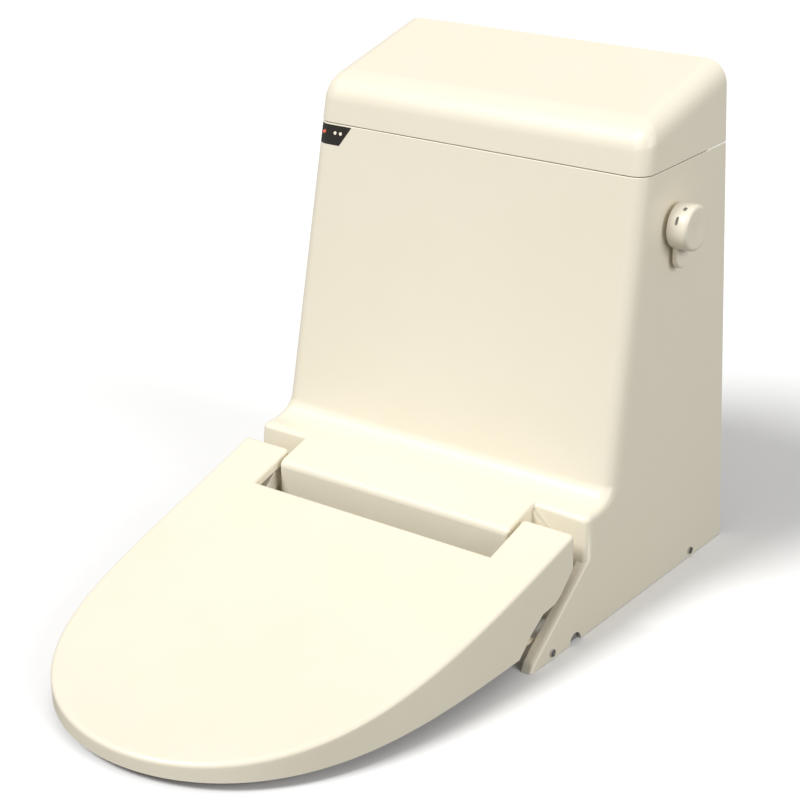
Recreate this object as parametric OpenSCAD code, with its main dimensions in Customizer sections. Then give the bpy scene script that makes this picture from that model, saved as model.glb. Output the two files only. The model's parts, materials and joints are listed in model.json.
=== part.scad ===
// Shower toilet upper unit: a heated lid-and-seat with washing nozzles, carried on
// one casing that also holds the flush tank. Millimetres, +Z up, front towards -Y.
// The origin lies midway between the two fixing bolts, on the plane of the bowl rim.

/* [Casing] */
// Width of the casing at its foot
base_w = 409; // [390:1:440]
// Width of the casing at the seam of the top cover
seam_w = 390; // [384:1:400]
// Height of the seam of the top cover
seam_z = 420; // [400:1:520]
// Depth of the casing at the seam
seam_d = 150; // [146:1:180]
// Depth of the casing where the leaning face meets the deck
foot_d = 212; // [206:1:230]
// Height of the deck beside the leaning face
deck_z = 119; // [114:1:126]
// Depth to the front of the shoulders
shoulder_d = 251; // [248:1:258]
// Height of the kink where the side skirt starts to slope
kink_z = 72; // [56:1:80]
// Depth to the tip of the side skirt
toe_d = 352; // [320:1:400]
// Thickness of a side skirt
skirt_t = 12.5; // [11:0.5:16]
// Radius of the casing's long front edges
edge_r = 17; // [8:1:24]
// Wall of the casing, cover, lid and seat mouldings
wall = 3; // [2.4:0.1:3.6]

/* [Hinge housing] */
// Width of the hinge housing on the deck
nose_w = 281; // [270:1:284]
// Depth to the front of the hinge housing
nose_d = 296; // [293:1:300]
// Height of the hinge housing's front edge
nose_z = 107; // [104:1:112]
// Radius of the two hinge pins
pin_r = 4; // [3:0.1:5]
// Depth of the hinge axis
hinge_d = 285; // [284.5:0.1:286]
// Height of the hinge axis
hinge_z = 92; // [90:1:94]

/* [Top cover] */
// Height of the cover's back edge above the seam
cover_h = 80; // [60:1:120]
// Slope of the cover towards the front, in degrees
top_fall = 14; // [8:1:18]
// Radius of the cover's front and side edges
top_r = 28; // [14:1:34]

/* [Lid] */
// Depth to the front of the lid
lid_front_d = 689; // [640:1:830]
// Depth to the rear edge of the lid's arms
lid_rear_d = 274.5; // [274:0.1:276]
// Width of the lid at the arms
lid_w = 404; // [380:1:410]
// Narrowing of each side of the lid towards the front
lid_taper = 13.7; // [6:0.1:20]
// Height of the lid's top at the arms
lid_rear_z = 112.6; // [111:0.1:116]
// Height of the lid's top at the front
lid_front_z = 24; // [22:1:34]
// Hollow of the lid's side profile below a straight line, times four
lid_bow = 33; // [0:1:40]
// Depth to the front edge of the notch between the arms
notch_d = 330; // [318:1:340]
// Gap between the hinge housing and each arm
arm_gap = 3.5; // [2:0.5:5]

/* [Seat] */
// Gap round the seat inside the lid
seat_gap = 9.5; // [9:0.5:12]
// Height of the seat's top at the rear
seat_rear_z = 56; // [50:1:60]
// Height of the seat's top at the front
seat_front_z = 18; // [16:0.5:18]
// Height of the rim bumpers under the rear of the seat
rear_bumper_h = 18; // [14:1:20]
// Height of the rim bumpers under the front of the seat
front_bumper_h = 4; // [3:0.5:6]
// Length of the seat opening
hole_l = 275; // [220:1:300]
// Width of the seat opening
hole_w = 212; // [170:1:230]

/* [Flush lever] */
// Radius of the lever's drum
lever_r = 22.5; // [18:0.5:28]
// Height of the drum from the casing
lever_h = 25; // [18:1:32]
// Depth of the lever's axis
lever_d = 98; // [94:1:102]
// Drop of the lever's axis below the seam of the top cover
lever_drop = 56; // [52:1:70]
// Radius of the lever shaft
shaft_r = 5; // [4:0.1:6]
// Throw of the arm that lifts the chain
arm_throw = 18; // [16:0.5:19]

/* [Flush tank] */
// Width of the tank
tank_w = 300; // [280:1:320]
// Depth of the tank, front to back
tank_l = 122; // [118:1:125]
// Height of the tank floor
tank_floor_z = 55; // [50:1:60]
// Clear bore of the flush outlet
outlet_bore_r = 30; // [24:0.5:31]
// Depth of the flush outlet's centre
outlet_d = 74; // [72:0.5:76]

/* [Nozzles] */
// Radius of a washing nozzle
nozzle_r = 6; // [5:0.1:6]
// Length of a washing nozzle
nozzle_l = 138; // [130:1:142]
// Downward slope of the nozzles, in degrees
nozzle_slope = 35; // [32:0.5:36]
// Number of teeth on a drive pinion
pinion_teeth = 12; // [12:1:12]
// Tooth module of pinion and rack
tooth_module = 1; // [1:0.1:1]

/* [Fixing] */
// Depth from the back of the casing to the fixing bolts
bolt_d = 215; // [212:1:220]
// Distance between the two fixing bolts
bolt_spacing = 140; // [130:1:150]
// Radius of the fixing bolt holes
bolt_hole_r = 5.5; // [4.5:0.1:6.5]
// Thickness of the chassis plate
chassis_t = 5; // [4:0.5:6]
// Radius of the water inlet thread
inlet_r = 10.4; // [8:0.1:10.5]

/* [Clearances] */
// Radial running clearance of a shaft in its bore
run_gap = 0.05; // [0.02:0.01:0.1]
// Gap between pieces that move past or sit inside each other
part_gap = 0.5; // [0.3:0.1:0.8]

/* [Hidden] */

top_z = seam_z + cover_h;
lever_z = seam_z - lever_drop;
$fn = 48;
shell_color = [0.95, 0.92, 0.84];
far = 900;
hair = 0.01;

// ---- Shared geometry ----

// Leaning of the front face, as depth per height, and as an angle
foot_z = deck_z + 17;
lean_k = (foot_d - seam_d) / (seam_z - foot_z);
lean = atan(lean_k);
side_k = (base_w - seam_w) / 2 / seam_z;
hinge_y = -hinge_d;
nose_half = nose_w / 2;
arm_in = nose_half + arm_gap;
deck_fillet_r = 20;
shoulder_r = 8;

function face_y(z) = -foot_d + (z - foot_z) * lean_k;
function half_w(z) = base_w / 2 - side_k * z;
function arc(c, r, a0, a1, n = 8) =
    [for (i = [0:n]) let (a = a0 + (a1 - a0) * i / n) c + r * [cos(a), sin(a)]];
function edge_normal(a, b) = let (e = b - a) [e[1], -e[0]] / norm(e);
// Moves each side of a counter-clockwise outline inwards by d
function inset(p, d) = [
    for (i = [0:len(p) - 1])
        let (
            last = p[(i + len(p) - 1) % len(p)],
            next = p[(i + 1) % len(p)],
            m = edge_normal(last, p[i]),
            n = edge_normal(p[i], next)
        )
        p[i] - (m + n) * d / (1 + m * n)
];

function reverse(p) = [for (i = [len(p) - 1:-1:0]) p[i]];

module from_back() translate([0, bolt_d, 0]) children();

// Extrudes an outline drawn in depth and height across the width from x0 to x1
module across(x0, x1)
    translate([x0, 0, 0]) rotate([90, 0, 90]) linear_extrude(x1 - x0) children();

module both_sides() {
    children();
    mirror([1, 0, 0]) children();
}

module round_rect(x0, x1, y0, y1, r) {
    translate([x0 + r, y0]) square([x1 - x0 - 2 * r, y1 - y0]);
    translate([x0, y0 + r]) square([x1 - x0, y1 - y0 - 2 * r]);
    for (x = [x0 + r, x1 - r]) for (y = [y0 + r, y1 - r]) translate([x, y]) circle(r);
}

module pipe(outer, inner, h)
    difference() {
        cylinder(r = outer, h = h);
        translate([0, 0, -1]) cylinder(r = inner, h = h + 2);
    }

// ---- Casing ----

deck_fillet_c = let (z = deck_z + deck_fillet_r)
    [face_y(z) - deck_fillet_r / cos(lean), z];

// Side outline of the casing behind the shoulders, with its open bottom, back and top
// reaching e further. All outlines run counter-clockwise
function casing_side(e) = concat(
    [[e, -e], [e, seam_z + e], [face_y(seam_z + e), seam_z + e]],
    arc(deck_fillet_c, deck_fillet_r, -lean, -90),
    arc([-shoulder_d + shoulder_r, deck_z - shoulder_r], shoulder_r, 90, 180),
    [[-shoulder_d, -e]]
);

// Side outline of the hinge housing
function nose_side() = let (r = 5) concat(
    [[-shoulder_d + 20, 0], [-shoulder_d + 20, deck_z - 1], [-shoulder_d + 6, deck_z - 1]],
    arc([-nose_d + r, nose_z - r], r, 75, 180, 5),
    [[-nose_d, 40], [-nose_d + 8, 0]]
);

// Side outline of a skirt in front of the shoulders
function skirt_side() = [
    [-shoulder_d + 20, 0], [-shoulder_d + 20, deck_z - shoulder_r],
    [-shoulder_d, deck_z - shoulder_r], [-shoulder_d - 5, kink_z],
    [-toe_d + 6, 8], [-toe_d, 4], [-toe_d + 2, 0]
];

// Leaning prism whose front corners round the face, d inside the surface
module leaning_prism(d)
    translate([0, -foot_d + d / cos(lean), foot_z]) rotate([-lean, 0, 0])
        translate([0, 0, -far / 2]) linear_extrude(far * 2)
            round_rect(-half_w(foot_z) + d, half_w(foot_z) - d, 0, far, edge_r - d);

// Trapezium that gives the sides their taper, d inside the surface
module taper(d)
    translate([0, far / 2, 0]) rotate([90, 0, 0]) linear_extrude(far * 1.5)
        polygon([
            [half_w(-far) - d, -far], [half_w(far) - d, far],
            [-half_w(far) + d, far], [-half_w(-far) + d, -far]
        ]);

module casing_core(d, e) {
    w = half_w(0);
    intersection() {
        across(-w, w) polygon(inset(casing_side(e), d));
        union() {
            leaning_prism(d);
            translate([-w, -far, -e - 1]) cube([2 * w, 2 * far, deck_z + 1 + e - d]);
        }
        translate([0, 0, -e - 2]) linear_extrude(far)
            round_rect(-w + d, w - d, -shoulder_d + d, far, 11 - d);
        taper(d);
    }
}

// Indicator window let into the left end of the face, under the seam
window_t = 1.5;
window_z1 = seam_z - 1.5;
window_z0 = seam_z - 21;
window_x1 = -half_w(seam_z) + 46;
window_x0 = window_x1 - 14;
window_back_d = seam_d - 22;
lamp_x = [window_x1 - 34, window_x1 - 20, window_x1 - 13];
lamp_z = seam_z - 9;
lamp_r = 1.6;

module window_zone(g)
    intersection() {
        rotate([90, 0, 0]) translate([0, 0, window_back_d - g]) linear_extrude(60)
            polygon([
                [-far, window_z1 + g], [-far, window_z0 - g],
                [window_x0 + g, window_z0 - g], [window_x1 + g, window_z1 + g]
            ]);
        difference() {
            casing_core(0, 0);
            casing_core(window_t + g, 0);
        }
    }

module lamp_holes(r)
    for (x = lamp_x)
        translate([x, -window_back_d, lamp_z]) rotate([90, 0, 0]) cylinder(r = r, h = 30);

grip_d = 277;
grip_r = 9.5;
screw_d = [63, 317];
screw_z = 7;
screw_r = 1.9;
screw_head_r = 3.8;
door_half = 22;
door_z = 38;
bush_r = shaft_r + 5;

module casing_screw_axis(d)
    translate([half_w(0) - wall, -d, screw_z]) rotate([0, 90, 0]) children();

module main_casing() color(shell_color) from_back()
    difference() {
        union() {
            casing_core(0, 0);
            intersection() {
                union() {
                    across(-nose_half, nose_half) polygon(nose_side());
                    both_sides() across(half_w(0) - skirt_t, half_w(0)) polygon(skirt_side());
                }
                taper(0);
            }
        }
        casing_core(wall, wall + 1);
        // hollow and nozzle door of the hinge housing
        across(-nose_half + wall, nose_half - wall) intersection() {
            polygon(inset(nose_side(), wall));
            translate([-far, 1]) square([far, far]);
        }
        translate([-nose_half + wall, -nose_d + 8 + wall, -1])
            cube([nose_w - 2 * wall, nose_d - shoulder_d - 8, 20]);
        translate([-door_half, -nose_d - 1, -1]) cube([2 * door_half, 20, door_z + 1]);
        // hollow of each skirt, open below
        both_sides() across(half_w(0) - skirt_t + wall, half_w(0) - wall)
            polygon([
                [-shoulder_d + 8, -1], [-toe_d + 16, -1], [-toe_d + 16, 3],
                [-shoulder_d - 5 + wall, kink_z - 8], [-shoulder_d + 8, kink_z - 8]
            ]);
        // holes for the hinge pins, lever and screws, grip notches, window recess
        translate([-nose_half - 1, hinge_y, hinge_z]) rotate([0, 90, 0])
            cylinder(r = pin_r + part_gap, h = nose_w + 2);
        translate([0, -lever_d, lever_z]) rotate([0, 90, 0])
            cylinder(r = bush_r + part_gap / 2, h = far);
        both_sides() for (d = screw_d)
            casing_screw_axis(d) translate([0, 0, -1]) cylinder(r = screw_r + 0.1, h = far);
        both_sides() translate([half_w(0) - wall - 1, -grip_d, 0]) rotate([0, 90, 0])
            cylinder(r = grip_r, h = far);
        window_zone(0.1);
        lamp_holes(lamp_r + 0.1);
    }

module casing_screws() color("silver") from_back()
    both_sides() for (d = screw_d)
        casing_screw_axis(d) {
            translate([0, 0, wall + 0.4]) cylinder(r = screw_head_r, h = 1.8);
            translate([0, 0, -5]) cylinder(r = screw_r, h = wall + 6);
        }

panel_t = 2;
panel_half = half_w(seam_z) - wall - 2;

module back_panel() color([0.86, 0.84, 0.78]) from_back()
    difference() {
        translate([-panel_half, -panel_t - 1, chassis_t + 1])
            cube([2 * panel_half, panel_t, seam_z - chassis_t - 12]);
        for (z = [120:50:320]) for (x = [-120, 0, 120])
            translate([x - 22, -10, z]) cube([44, 20, 5]);
        translate([cable_x, 1, cable_z]) rotate([90, 0, 0])
            cylinder(r = cable_r + 0.2, h = 10);
    }

cable_x = 160;
cable_z = 80;
cable_r = 7;

module cable_gland() color([0.2, 0.2, 0.2]) from_back()
    translate([cable_x, -0.4, cable_z]) rotate([90, 0, 0]) difference() {
        union() {
            cylinder(r = cable_r, h = 18);
            translate([0, 0, panel_t + 0.7]) cylinder(r = cable_r + 4, h = 3);
        }
        translate([0, 0, -1]) cylinder(r = 3.6, h = 20);
    }

chassis_half = half_w(10) - wall - 1;
rail_d = toe_d - 28;
inlet_x = -165;
inlet_d = 42;

module chassis() color([0.72, 0.72, 0.7]) from_back()
    difference() {
        union() {
            translate([-chassis_half, -shoulder_d + wall + 1, 0])
                cube([2 * chassis_half, shoulder_d - wall - 2, chassis_t]);
            // side rails inside the skirts and screw bosses behind
            both_sides() translate([half_w(0) - skirt_t + wall + 1, -rail_d, 0])
                cube([skirt_t - 2 * wall - 2, rail_d - shoulder_d + 30, 11]);
            both_sides() translate([chassis_half - 12, -screw_d[0] - 7, 0]) cube([12, 14, 16]);
            // posts for the nozzle guide, tank and heater
            translate([-14, -246, 0]) cube([28, 10, 34]);
            both_sides() translate([tank_w / 2 - 16, -outlet_d - 10, 0])
                cube([12, 20, tank_floor_z - 0.2]);
            for (x = [2, heater_l - 10]) translate([heater_x - heater_l / 2 + x, -heater_d - 8, 0])
                cube([8, 16, heater_z + 1]);
        }
        translate([0, -outlet_d, -1]) cylinder(r = nut_hole_r, h = 60);
        translate([inlet_x, -inlet_d, -1]) cylinder(r = 22, h = 60);
        for (x = [-1, 1] * bolt_spacing / 2)
            translate([x, -bolt_d, -1]) cylinder(r = bolt_hole_r, h = chassis_t + 2);
        both_sides() for (d = screw_d)
            casing_screw_axis(d) translate([0, 0, -9]) cylinder(r = screw_r + 0.1, h = far);
        translate([fan_x, -fan_d, -1]) cylinder(r = 12, h = chassis_t + 2);
        at_heater(-heater_l) cylinder(r = heater_r + 0.2, h = 2 * heater_l);
    }

// ---- Top cover ----

// Point where the leaning face meets the sloping top
cover_corner = let (
        k = tan(top_fall),
        z = (top_z - k * (foot_d + foot_z * lean_k)) / (1 - k * lean_k)
    ) [face_y(z), z];

function cover_side(e) = let (
        // centre of the rounded front edge, which touches the face and the top
        n1 = [-cos(lean), sin(lean)],
        n2 = [-sin(top_fall), cos(top_fall)],
        c = cover_corner - (n1 + n2) * top_r / (1 + n1 * n2)
    ) concat(
        [[face_y(seam_z - e), seam_z - e], [0, seam_z - e], [0, top_z]],
        arc(c, top_r, 90 + top_fall, 180 - lean, 10)
    );

module cover_solid(d, e)
    intersection() {
        across(-half_w(0), half_w(0)) polygon(inset(cover_side(e), d));
        leaning_prism(d);
        taper(d);
        // long side edges rounded along the sloping top
        translate([0, 0, top_z]) rotate([top_fall, 0, 0]) rotate([90, 0, 0])
            translate([0, 0, -far / 2]) linear_extrude(far)
                round_rect(-half_w(top_z) + d, half_w(top_z) - d, -far, -d, top_r - d);
    }

lip_h = 7;
stay_t = 1.6;

module top_cover() color(shell_color) from_back() {
    difference() {
        cover_solid(0, 0);
        cover_solid(wall, 2 * wall);
    }
    // locating ribs that drop inside the casing
    for (x = [-120, 0, 120])
        translate([x - 14, face_y(seam_z) + wall + part_gap + 2, seam_z - lip_h])
            cube([28, stay_t, lip_h + 14]);
}

// ---- Indicator ----

module indicator_window() color([0.12, 0.11, 0.1]) from_back()
    difference() {
        window_zone(0);
        lamp_holes(lamp_r + 0.1);
    }

module indicator_lamps() color([0.9, 0.5, 0.4]) from_back()
    for (x = lamp_x)
        translate([x, face_y(lamp_z) + 5, lamp_z]) rotate([90, 0, 0]) cylinder(r = lamp_r, h = 5.6);

module indicator_board() color([0.1, 0.35, 0.2]) from_back()
    translate([lamp_x[0] - 2, face_y(lamp_z) + 5.2, seam_z - 24]) cube([34, 1.6, 22]);

// ---- Lid ----

lid_len = lid_front_d - lid_rear_d;
lid_round = 4.45;
lid_skirt_rear_z = 24;
lid_skirt_front_z = 8;

function lid_t(d) = (d - lid_rear_d) / lid_len;
function lid_top_z(d) = let (t = lid_t(d))
    lid_rear_z + (lid_front_z - lid_rear_z) * t - lid_bow * t * (1 - t);

// Plan outline, g inside the lid's edge, from the rear right round the front
function lid_plan(g, rear_d, n = 24) = let (
        right = [for (i = [0:n])
            let (a = 90 * pow(i / n, 1.4), t = pow(sin(a), 2 / lid_round))
            [(lid_w / 2 - lid_taper * t) * cos(a) - g * cos(a),
             -max(lid_rear_d + t * (lid_len - g), rear_d)]]
    ) concat(
        [[lid_w / 2 - g, -rear_d]],
        [for (p = right) if (p[1] < -rear_d - 1 && p[0] > 0.01) p],
        [[0, -lid_front_d + g]],
        [for (p = reverse(right)) if (p[1] < -rear_d - 1 && p[0] > 0.01) [-p[0], p[1]]],
        [[-lid_w / 2 + g, -rear_d]]
    );

// Side outline of the lid: the curved top less d, and the edge of its skirt
function lid_side(d, low) = let (n = 16) concat(
    low,
    [for (i = [0:n]) let (y = lid_rear_d + lid_len * i / n) [-y, lid_top_z(y) - d]]
);

lid_edge = [
    [-lid_front_d, lid_skirt_front_z], [-370, lid_skirt_rear_z - 6],
    [-360, lid_skirt_rear_z], [-335, 44], [-lid_rear_d, 80]
];

module lid_body(g, d, rear_d, low)
    intersection() {
        translate([0, 0, -50]) linear_extrude(far) polygon(reverse(lid_plan(g, rear_d)));
        across(-lid_w / 2, lid_w / 2) polygon(reverse(lid_side(d, low)));
    }

module ear(x0, x1, r, outline)
    across(x0, x1) union() {
        translate([hinge_y, hinge_z]) circle(r = r);
        polygon(outline);
    }

ear_r = pin_r + 3;
seat_ear_x = arm_in + wall + 1;
ear_t = 11;
lid_ear_x = seat_ear_x + ear_t + 4;

module hinge_bore(x, w, r)
    translate([x - 1, hinge_y, hinge_z]) rotate([0, 90, 0]) cylinder(r = r, h = w + 2);

module lid() color(shell_color) from_back()
    difference() {
        union() {
            difference() {
                lid_body(0, 0, lid_rear_d, lid_edge);
                difference() {
                    lid_body(wall, wall, lid_rear_d + wall, [[-far, -50], [-lid_rear_d, -50]]);
                    translate([-arm_in - wall, -notch_d - wall, -60])
                        cube([2 * arm_in + 2 * wall, far, far]);
                }
                translate([-arm_in, -notch_d, -60]) cube([2 * arm_in, far, far]);
            }
            both_sides() ear(lid_ear_x, lid_ear_x + 10, ear_r, [
                [hinge_y + ear_r, hinge_z], [hinge_y + ear_r, lid_top_z(hinge_d - ear_r) - 1],
                [hinge_y - ear_r - 8, lid_top_z(hinge_d + ear_r + 8) - 1], [hinge_y - ear_r, hinge_z]
            ]);
        }
        hinge_bore(lid_ear_x, 10, pin_r);
        mirror([1, 0, 0]) hinge_bore(lid_ear_x, 10, pin_r + run_gap);
        both_sides() hinge_bore(arm_in, wall, pin_r + part_gap);
        // room behind the seat's ears when the lid is open
        both_sides() translate([arm_in + wall - hair, hinge_y, hinge_z - 40])
            cube([lid_ear_x - arm_in - wall, 40, 41]);
        // the notch's own edge stays above the seat
        translate([-arm_in - wall - hair, -notch_d - wall - hair, -60])
            cube([2 * (arm_in + wall + hair), notch_d + wall - seat_rear_d + 2, 60 + seat_rear_z + 9]);
    }

lid_bumper_x = 118;
lid_bumper_d = 590;
pad_r = 7;

module lid_bumpers() color([0.85, 0.84, 0.8]) from_back()
    both_sides() intersection() {
        translate([lid_bumper_x, -lid_bumper_d, seat_top_z(lid_bumper_d) + 1.2])
            cylinder(r = pad_r, h = 60);
        lid_body(wall, wall, lid_rear_d + wall, [[-far, -50], [-lid_rear_d, -50]]);
    }

damper_r = 7.4;
damper_in = 62;
damper_out = nose_half - wall - 0.5;

module hinge_pin(side, ear_end)
    from_back() mirror([side < 0 ? 1 : 0, 0, 0]) translate([damper_in + 14, hinge_y, hinge_z])
        rotate([0, 90, 0]) cylinder(r = pin_r, h = ear_end - damper_in - 14);

module damper(side)
    from_back() mirror([side < 0 ? 1 : 0, 0, 0]) translate([damper_in, hinge_y, hinge_z])
        rotate([0, 90, 0]) difference() {
            cylinder(r = damper_r, h = damper_out - damper_in);
            translate([0, 0, 13]) cylinder(r = pin_r + run_gap, h = far);
        }

module lid_hinge_pin() color("silver") hinge_pin(1, lid_ear_x + 9);
module seat_hinge_pin() color("silver") hinge_pin(-1, lid_ear_x + 9);
module lid_damper() color([0.3, 0.3, 0.3]) damper(1);
module seat_damper() color([0.3, 0.3, 0.3]) damper(-1);

// ---- Seat ----

seat_rear_d = notch_d - 6;
seat_front_d = lid_front_d - wall - seat_gap;
seat_inset = wall + seat_gap;
hole_d = (seat_front_d + seat_rear_d) / 2 + 2;
seat_base_t = 2.5;

function seat_slope(a, b, d) = a + (b - a) * (d - seat_rear_d) / (seat_front_d - seat_rear_d);
function seat_top_z(d) = seat_slope(seat_rear_z, seat_front_z, d);
function seat_low_z(d) = seat_slope(rear_bumper_h, front_bumper_h, d);

module seat_plan(g)
    difference() {
        polygon(reverse(lid_plan(seat_inset + g, seat_rear_d + g)));
        polygon([for (a = [0:7.5:359])
            [(hole_w / 2 + g) * cos(a), -hole_d + (hole_l / 2 + g) * sin(a)]]);
    }

// Wedge between the seat's low plane raised by a and its top lowered by b
module seat_slice(a, b)
    across(-lid_w, lid_w) polygon([
        [-seat_front_d - 9, seat_low_z(seat_front_d + 9) + a],
        [-seat_rear_d + 9, seat_low_z(seat_rear_d - 9) + a],
        [-seat_rear_d + 9, seat_top_z(seat_rear_d - 9) - b],
        [-seat_front_d - 9, seat_top_z(seat_front_d + 9) - b]
    ]);

module seat_layer(g, a, b)
    intersection() {
        linear_extrude(200) seat_plan(g);
        seat_slice(a, b);
    }

module seat_upper() color(shell_color) from_back()
    difference() {
        union() {
            seat_layer(0, seat_base_t, 0);
            both_sides() ear(seat_ear_x, seat_ear_x + ear_t, ear_r, [
                [hinge_y, hinge_z + ear_r], [-seat_rear_d - 18, seat_top_z(seat_rear_d + 18) - 1],
                [-seat_rear_d - 18, seat_low_z(seat_rear_d) + 12],
                [-seat_rear_d + 3, 40], [hinge_y - ear_r / 2, hinge_z - ear_r + 1]
            ]);
        }
        seat_layer(wall, -10, wall);
        hinge_bore(seat_ear_x, ear_t, pin_r + run_gap);
        mirror([1, 0, 0]) hinge_bore(seat_ear_x, ear_t, pin_r);
    }

module seat_lower() color([0.9, 0.87, 0.8]) from_back()
    intersection() {
        linear_extrude(200) seat_plan(0);
        across(-lid_w, lid_w) polygon([
            [-seat_front_d - 9, seat_low_z(seat_front_d + 9)],
            [-seat_rear_d + 9, seat_low_z(seat_rear_d - 9)],
            [-seat_rear_d + 9, seat_low_z(seat_rear_d - 9) + seat_base_t],
            [-seat_front_d - 9, seat_low_z(seat_front_d + 9) + seat_base_t]
        ]);
    }

module seat_heater() color([0.8, 0.8, 0.82]) from_back()
    seat_layer_between(wall + 1.5, wall + 0.2, wall + 0.9);

module seat_layer_between(g, top_less, low_less)
    intersection() {
        linear_extrude(200) seat_plan(g);
        across(-lid_w, lid_w) polygon([
            [-seat_front_d, seat_top_z(seat_front_d) - low_less],
            [-seat_rear_d, seat_top_z(seat_rear_d) - low_less],
            [-seat_rear_d, seat_top_z(seat_rear_d) - top_less],
            [-seat_front_d, seat_top_z(seat_front_d) - top_less]
        ]);
    }

bumper_at = [[118, 385], [92, 628]];

module seat_bumpers() color([0.55, 0.54, 0.5]) from_back()
    both_sides() for (p = bumper_at)
        intersection() {
            translate([p[0], -p[1], 0]) cylinder(r = pad_r, h = 60);
            across(0, lid_w) polygon([
                [-p[1] - 20, 0], [-p[1] + 20, 0],
                [-p[1] + 20, seat_low_z(p[1] - 20)], [-p[1] - 20, seat_low_z(p[1] + 20)]
            ]);
        }

// ---- Flush lever ----

lever_face = half_w(lever_z - lever_r - 3) + 0.2;
bush_flange_t = 3;
bush_flange_r = 15;
drum_x = lever_face + bush_flange_t + 0.4;
drum_end = lever_face + lever_h;
tail_w = 20;
tail_t = 7;
tail_z = 42;
lever_arm_x = 10;
arm_rest = -30;
nut_x = half_w(lever_z) - wall - 8;

module at_lever(x) translate([x, -lever_d, lever_z]) rotate([90, 0, 90]) children();

module flush_lever() color([0.94, 0.91, 0.83]) from_back()
    at_lever(drum_x) difference() {
        union() {
            rotate_extrude() union() {
                square([lever_r, drum_end - drum_x - 4]);
                square([lever_r - 4, drum_end - drum_x]);
                translate([lever_r - 4, drum_end - drum_x - 4]) intersection() {
                    circle(r = 4);
                    square(4);
                }
            }
            linear_extrude(tail_t) {
                translate([-tail_w / 2, -tail_z + tail_w / 2]) square([tail_w, tail_z - tail_w / 2]);
                translate([0, -tail_z + tail_w / 2]) circle(r = tail_w / 2);
            }
        }
        translate([0, 0, -1]) cylinder(r = shaft_r, h = drum_end - drum_x - 5);
    }

module lever_shaft() color("silver") from_back()
    at_lever(lever_arm_x) cylinder(r = shaft_r, h = drum_end - 6 - lever_arm_x);

module lever_bush() color([0.85, 0.83, 0.77]) from_back()
    at_lever(nut_x - 2) difference() {
        union() {
            cylinder(r = bush_r, h = lever_face - nut_x + 2);
            translate([0, 0, lever_face - nut_x + 2]) cylinder(r = bush_flange_r, h = bush_flange_t);
        }
        translate([0, 0, -1]) cylinder(r = shaft_r + run_gap, h = far);
    }

module lever_nut() color([0.8, 0.78, 0.7]) from_back()
    at_lever(nut_x) difference() {
        cylinder(r = bush_r + 6, h = 6, $fn = 6);
        translate([0, 0, -1]) cylinder(r = bush_r, h = 8);
    }

link_pin_r = 1.6;

module lever_arm() color([0.75, 0.62, 0.3]) from_back()
    at_lever(lever_arm_x) rotate([0, 0, arm_rest]) {
        difference() {
            linear_extrude(3) {
                circle(r = shaft_r + 4);
                translate([0, -4]) square([arm_throw, 8]);
                translate([arm_throw, 0]) circle(r = 4);
            }
            translate([0, 0, -1]) cylinder(r = shaft_r, h = 5);
        }
        translate([arm_throw, 0, -8]) cylinder(r = link_pin_r, h = 9);
    }

// ---- Flush tank ----

tank_wall = 3;
tank_top_z = seam_z - 26;
tank_back_d = 13;
outlet_outer_r = outlet_bore_r + 5;
nut_hole_r = outlet_outer_r + 14;
inner_floor_z = tank_floor_z + tank_wall;
valve_seat_z = inner_floor_z + 14;

module flush_tank() color([0.82, 0.86, 0.9]) from_back()
    difference() {
        translate([-tank_w / 2, -tank_back_d - tank_l, tank_floor_z])
            cube([tank_w, tank_l, tank_top_z - tank_floor_z]);
        translate([-tank_w / 2 + tank_wall, -tank_back_d - tank_l + tank_wall, tank_floor_z + tank_wall])
            cube([tank_w - 2 * tank_wall, tank_l - 2 * tank_wall, far]);
        translate([0, -outlet_d, 0]) cylinder(r = outlet_outer_r + 0.3, h = 100);
        translate([fill_x, -outlet_d, 0]) cylinder(r = fill_r + 0.3, h = 100);
        at_lever(0) cylinder(r = shaft_r + 3, h = 200);
    }

overflow_x = 56;
overflow_r = 11;
overflow_top_z = lever_z - 44;
flap_hinge_d = 26;
flap_pin_r = 2;
flap_hinge_z = valve_seat_z + 4;

module flush_valve() color([0.9, 0.9, 0.88]) from_back()
    difference() {
        union() {
            translate([0, -outlet_d, 0]) cylinder(r = outlet_outer_r, h = valve_seat_z);
            translate([0, -outlet_d, inner_floor_z]) cylinder(r = outlet_outer_r + 6, h = 4);
            translate([0, -outlet_d - 8, inner_floor_z]) cube([overflow_x, 16, 4]);
            translate([overflow_x, -outlet_d, inner_floor_z])
                cylinder(r = overflow_r, h = overflow_top_z - inner_floor_z);
            // lugs that carry the flapper's pin
            both_sides() translate([18, -flap_hinge_d - 5, inner_floor_z])
                cube([4, 10, flap_hinge_z - inner_floor_z + 5]);
            translate([-22, -outlet_d, inner_floor_z]) cube([44, outlet_d - flap_hinge_d + 5, 4]);
        }
        translate([0, -outlet_d, -1]) cylinder(r = outlet_bore_r, h = far);
        translate([overflow_x, -outlet_d, inner_floor_z + 3]) cylinder(r = overflow_r - 2, h = far);
        at_flap_hinge(-30) cylinder(r = flap_pin_r, h = 60);
    }

module at_flap_hinge(x) translate([x, -flap_hinge_d, flap_hinge_z]) rotate([90, 0, 90]) children();

module outlet_nut() color([0.25, 0.25, 0.25]) from_back()
    translate([0, -outlet_d, tank_floor_z - 12]) pipe(outlet_outer_r + 9, outlet_outer_r, 10);

module outlet_gasket() color([0.15, 0.15, 0.15]) from_back()
    translate([0, -outlet_d, 0]) pipe(outlet_outer_r + 11, outlet_outer_r, 16);

eye_z = valve_seat_z + 20;

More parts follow.
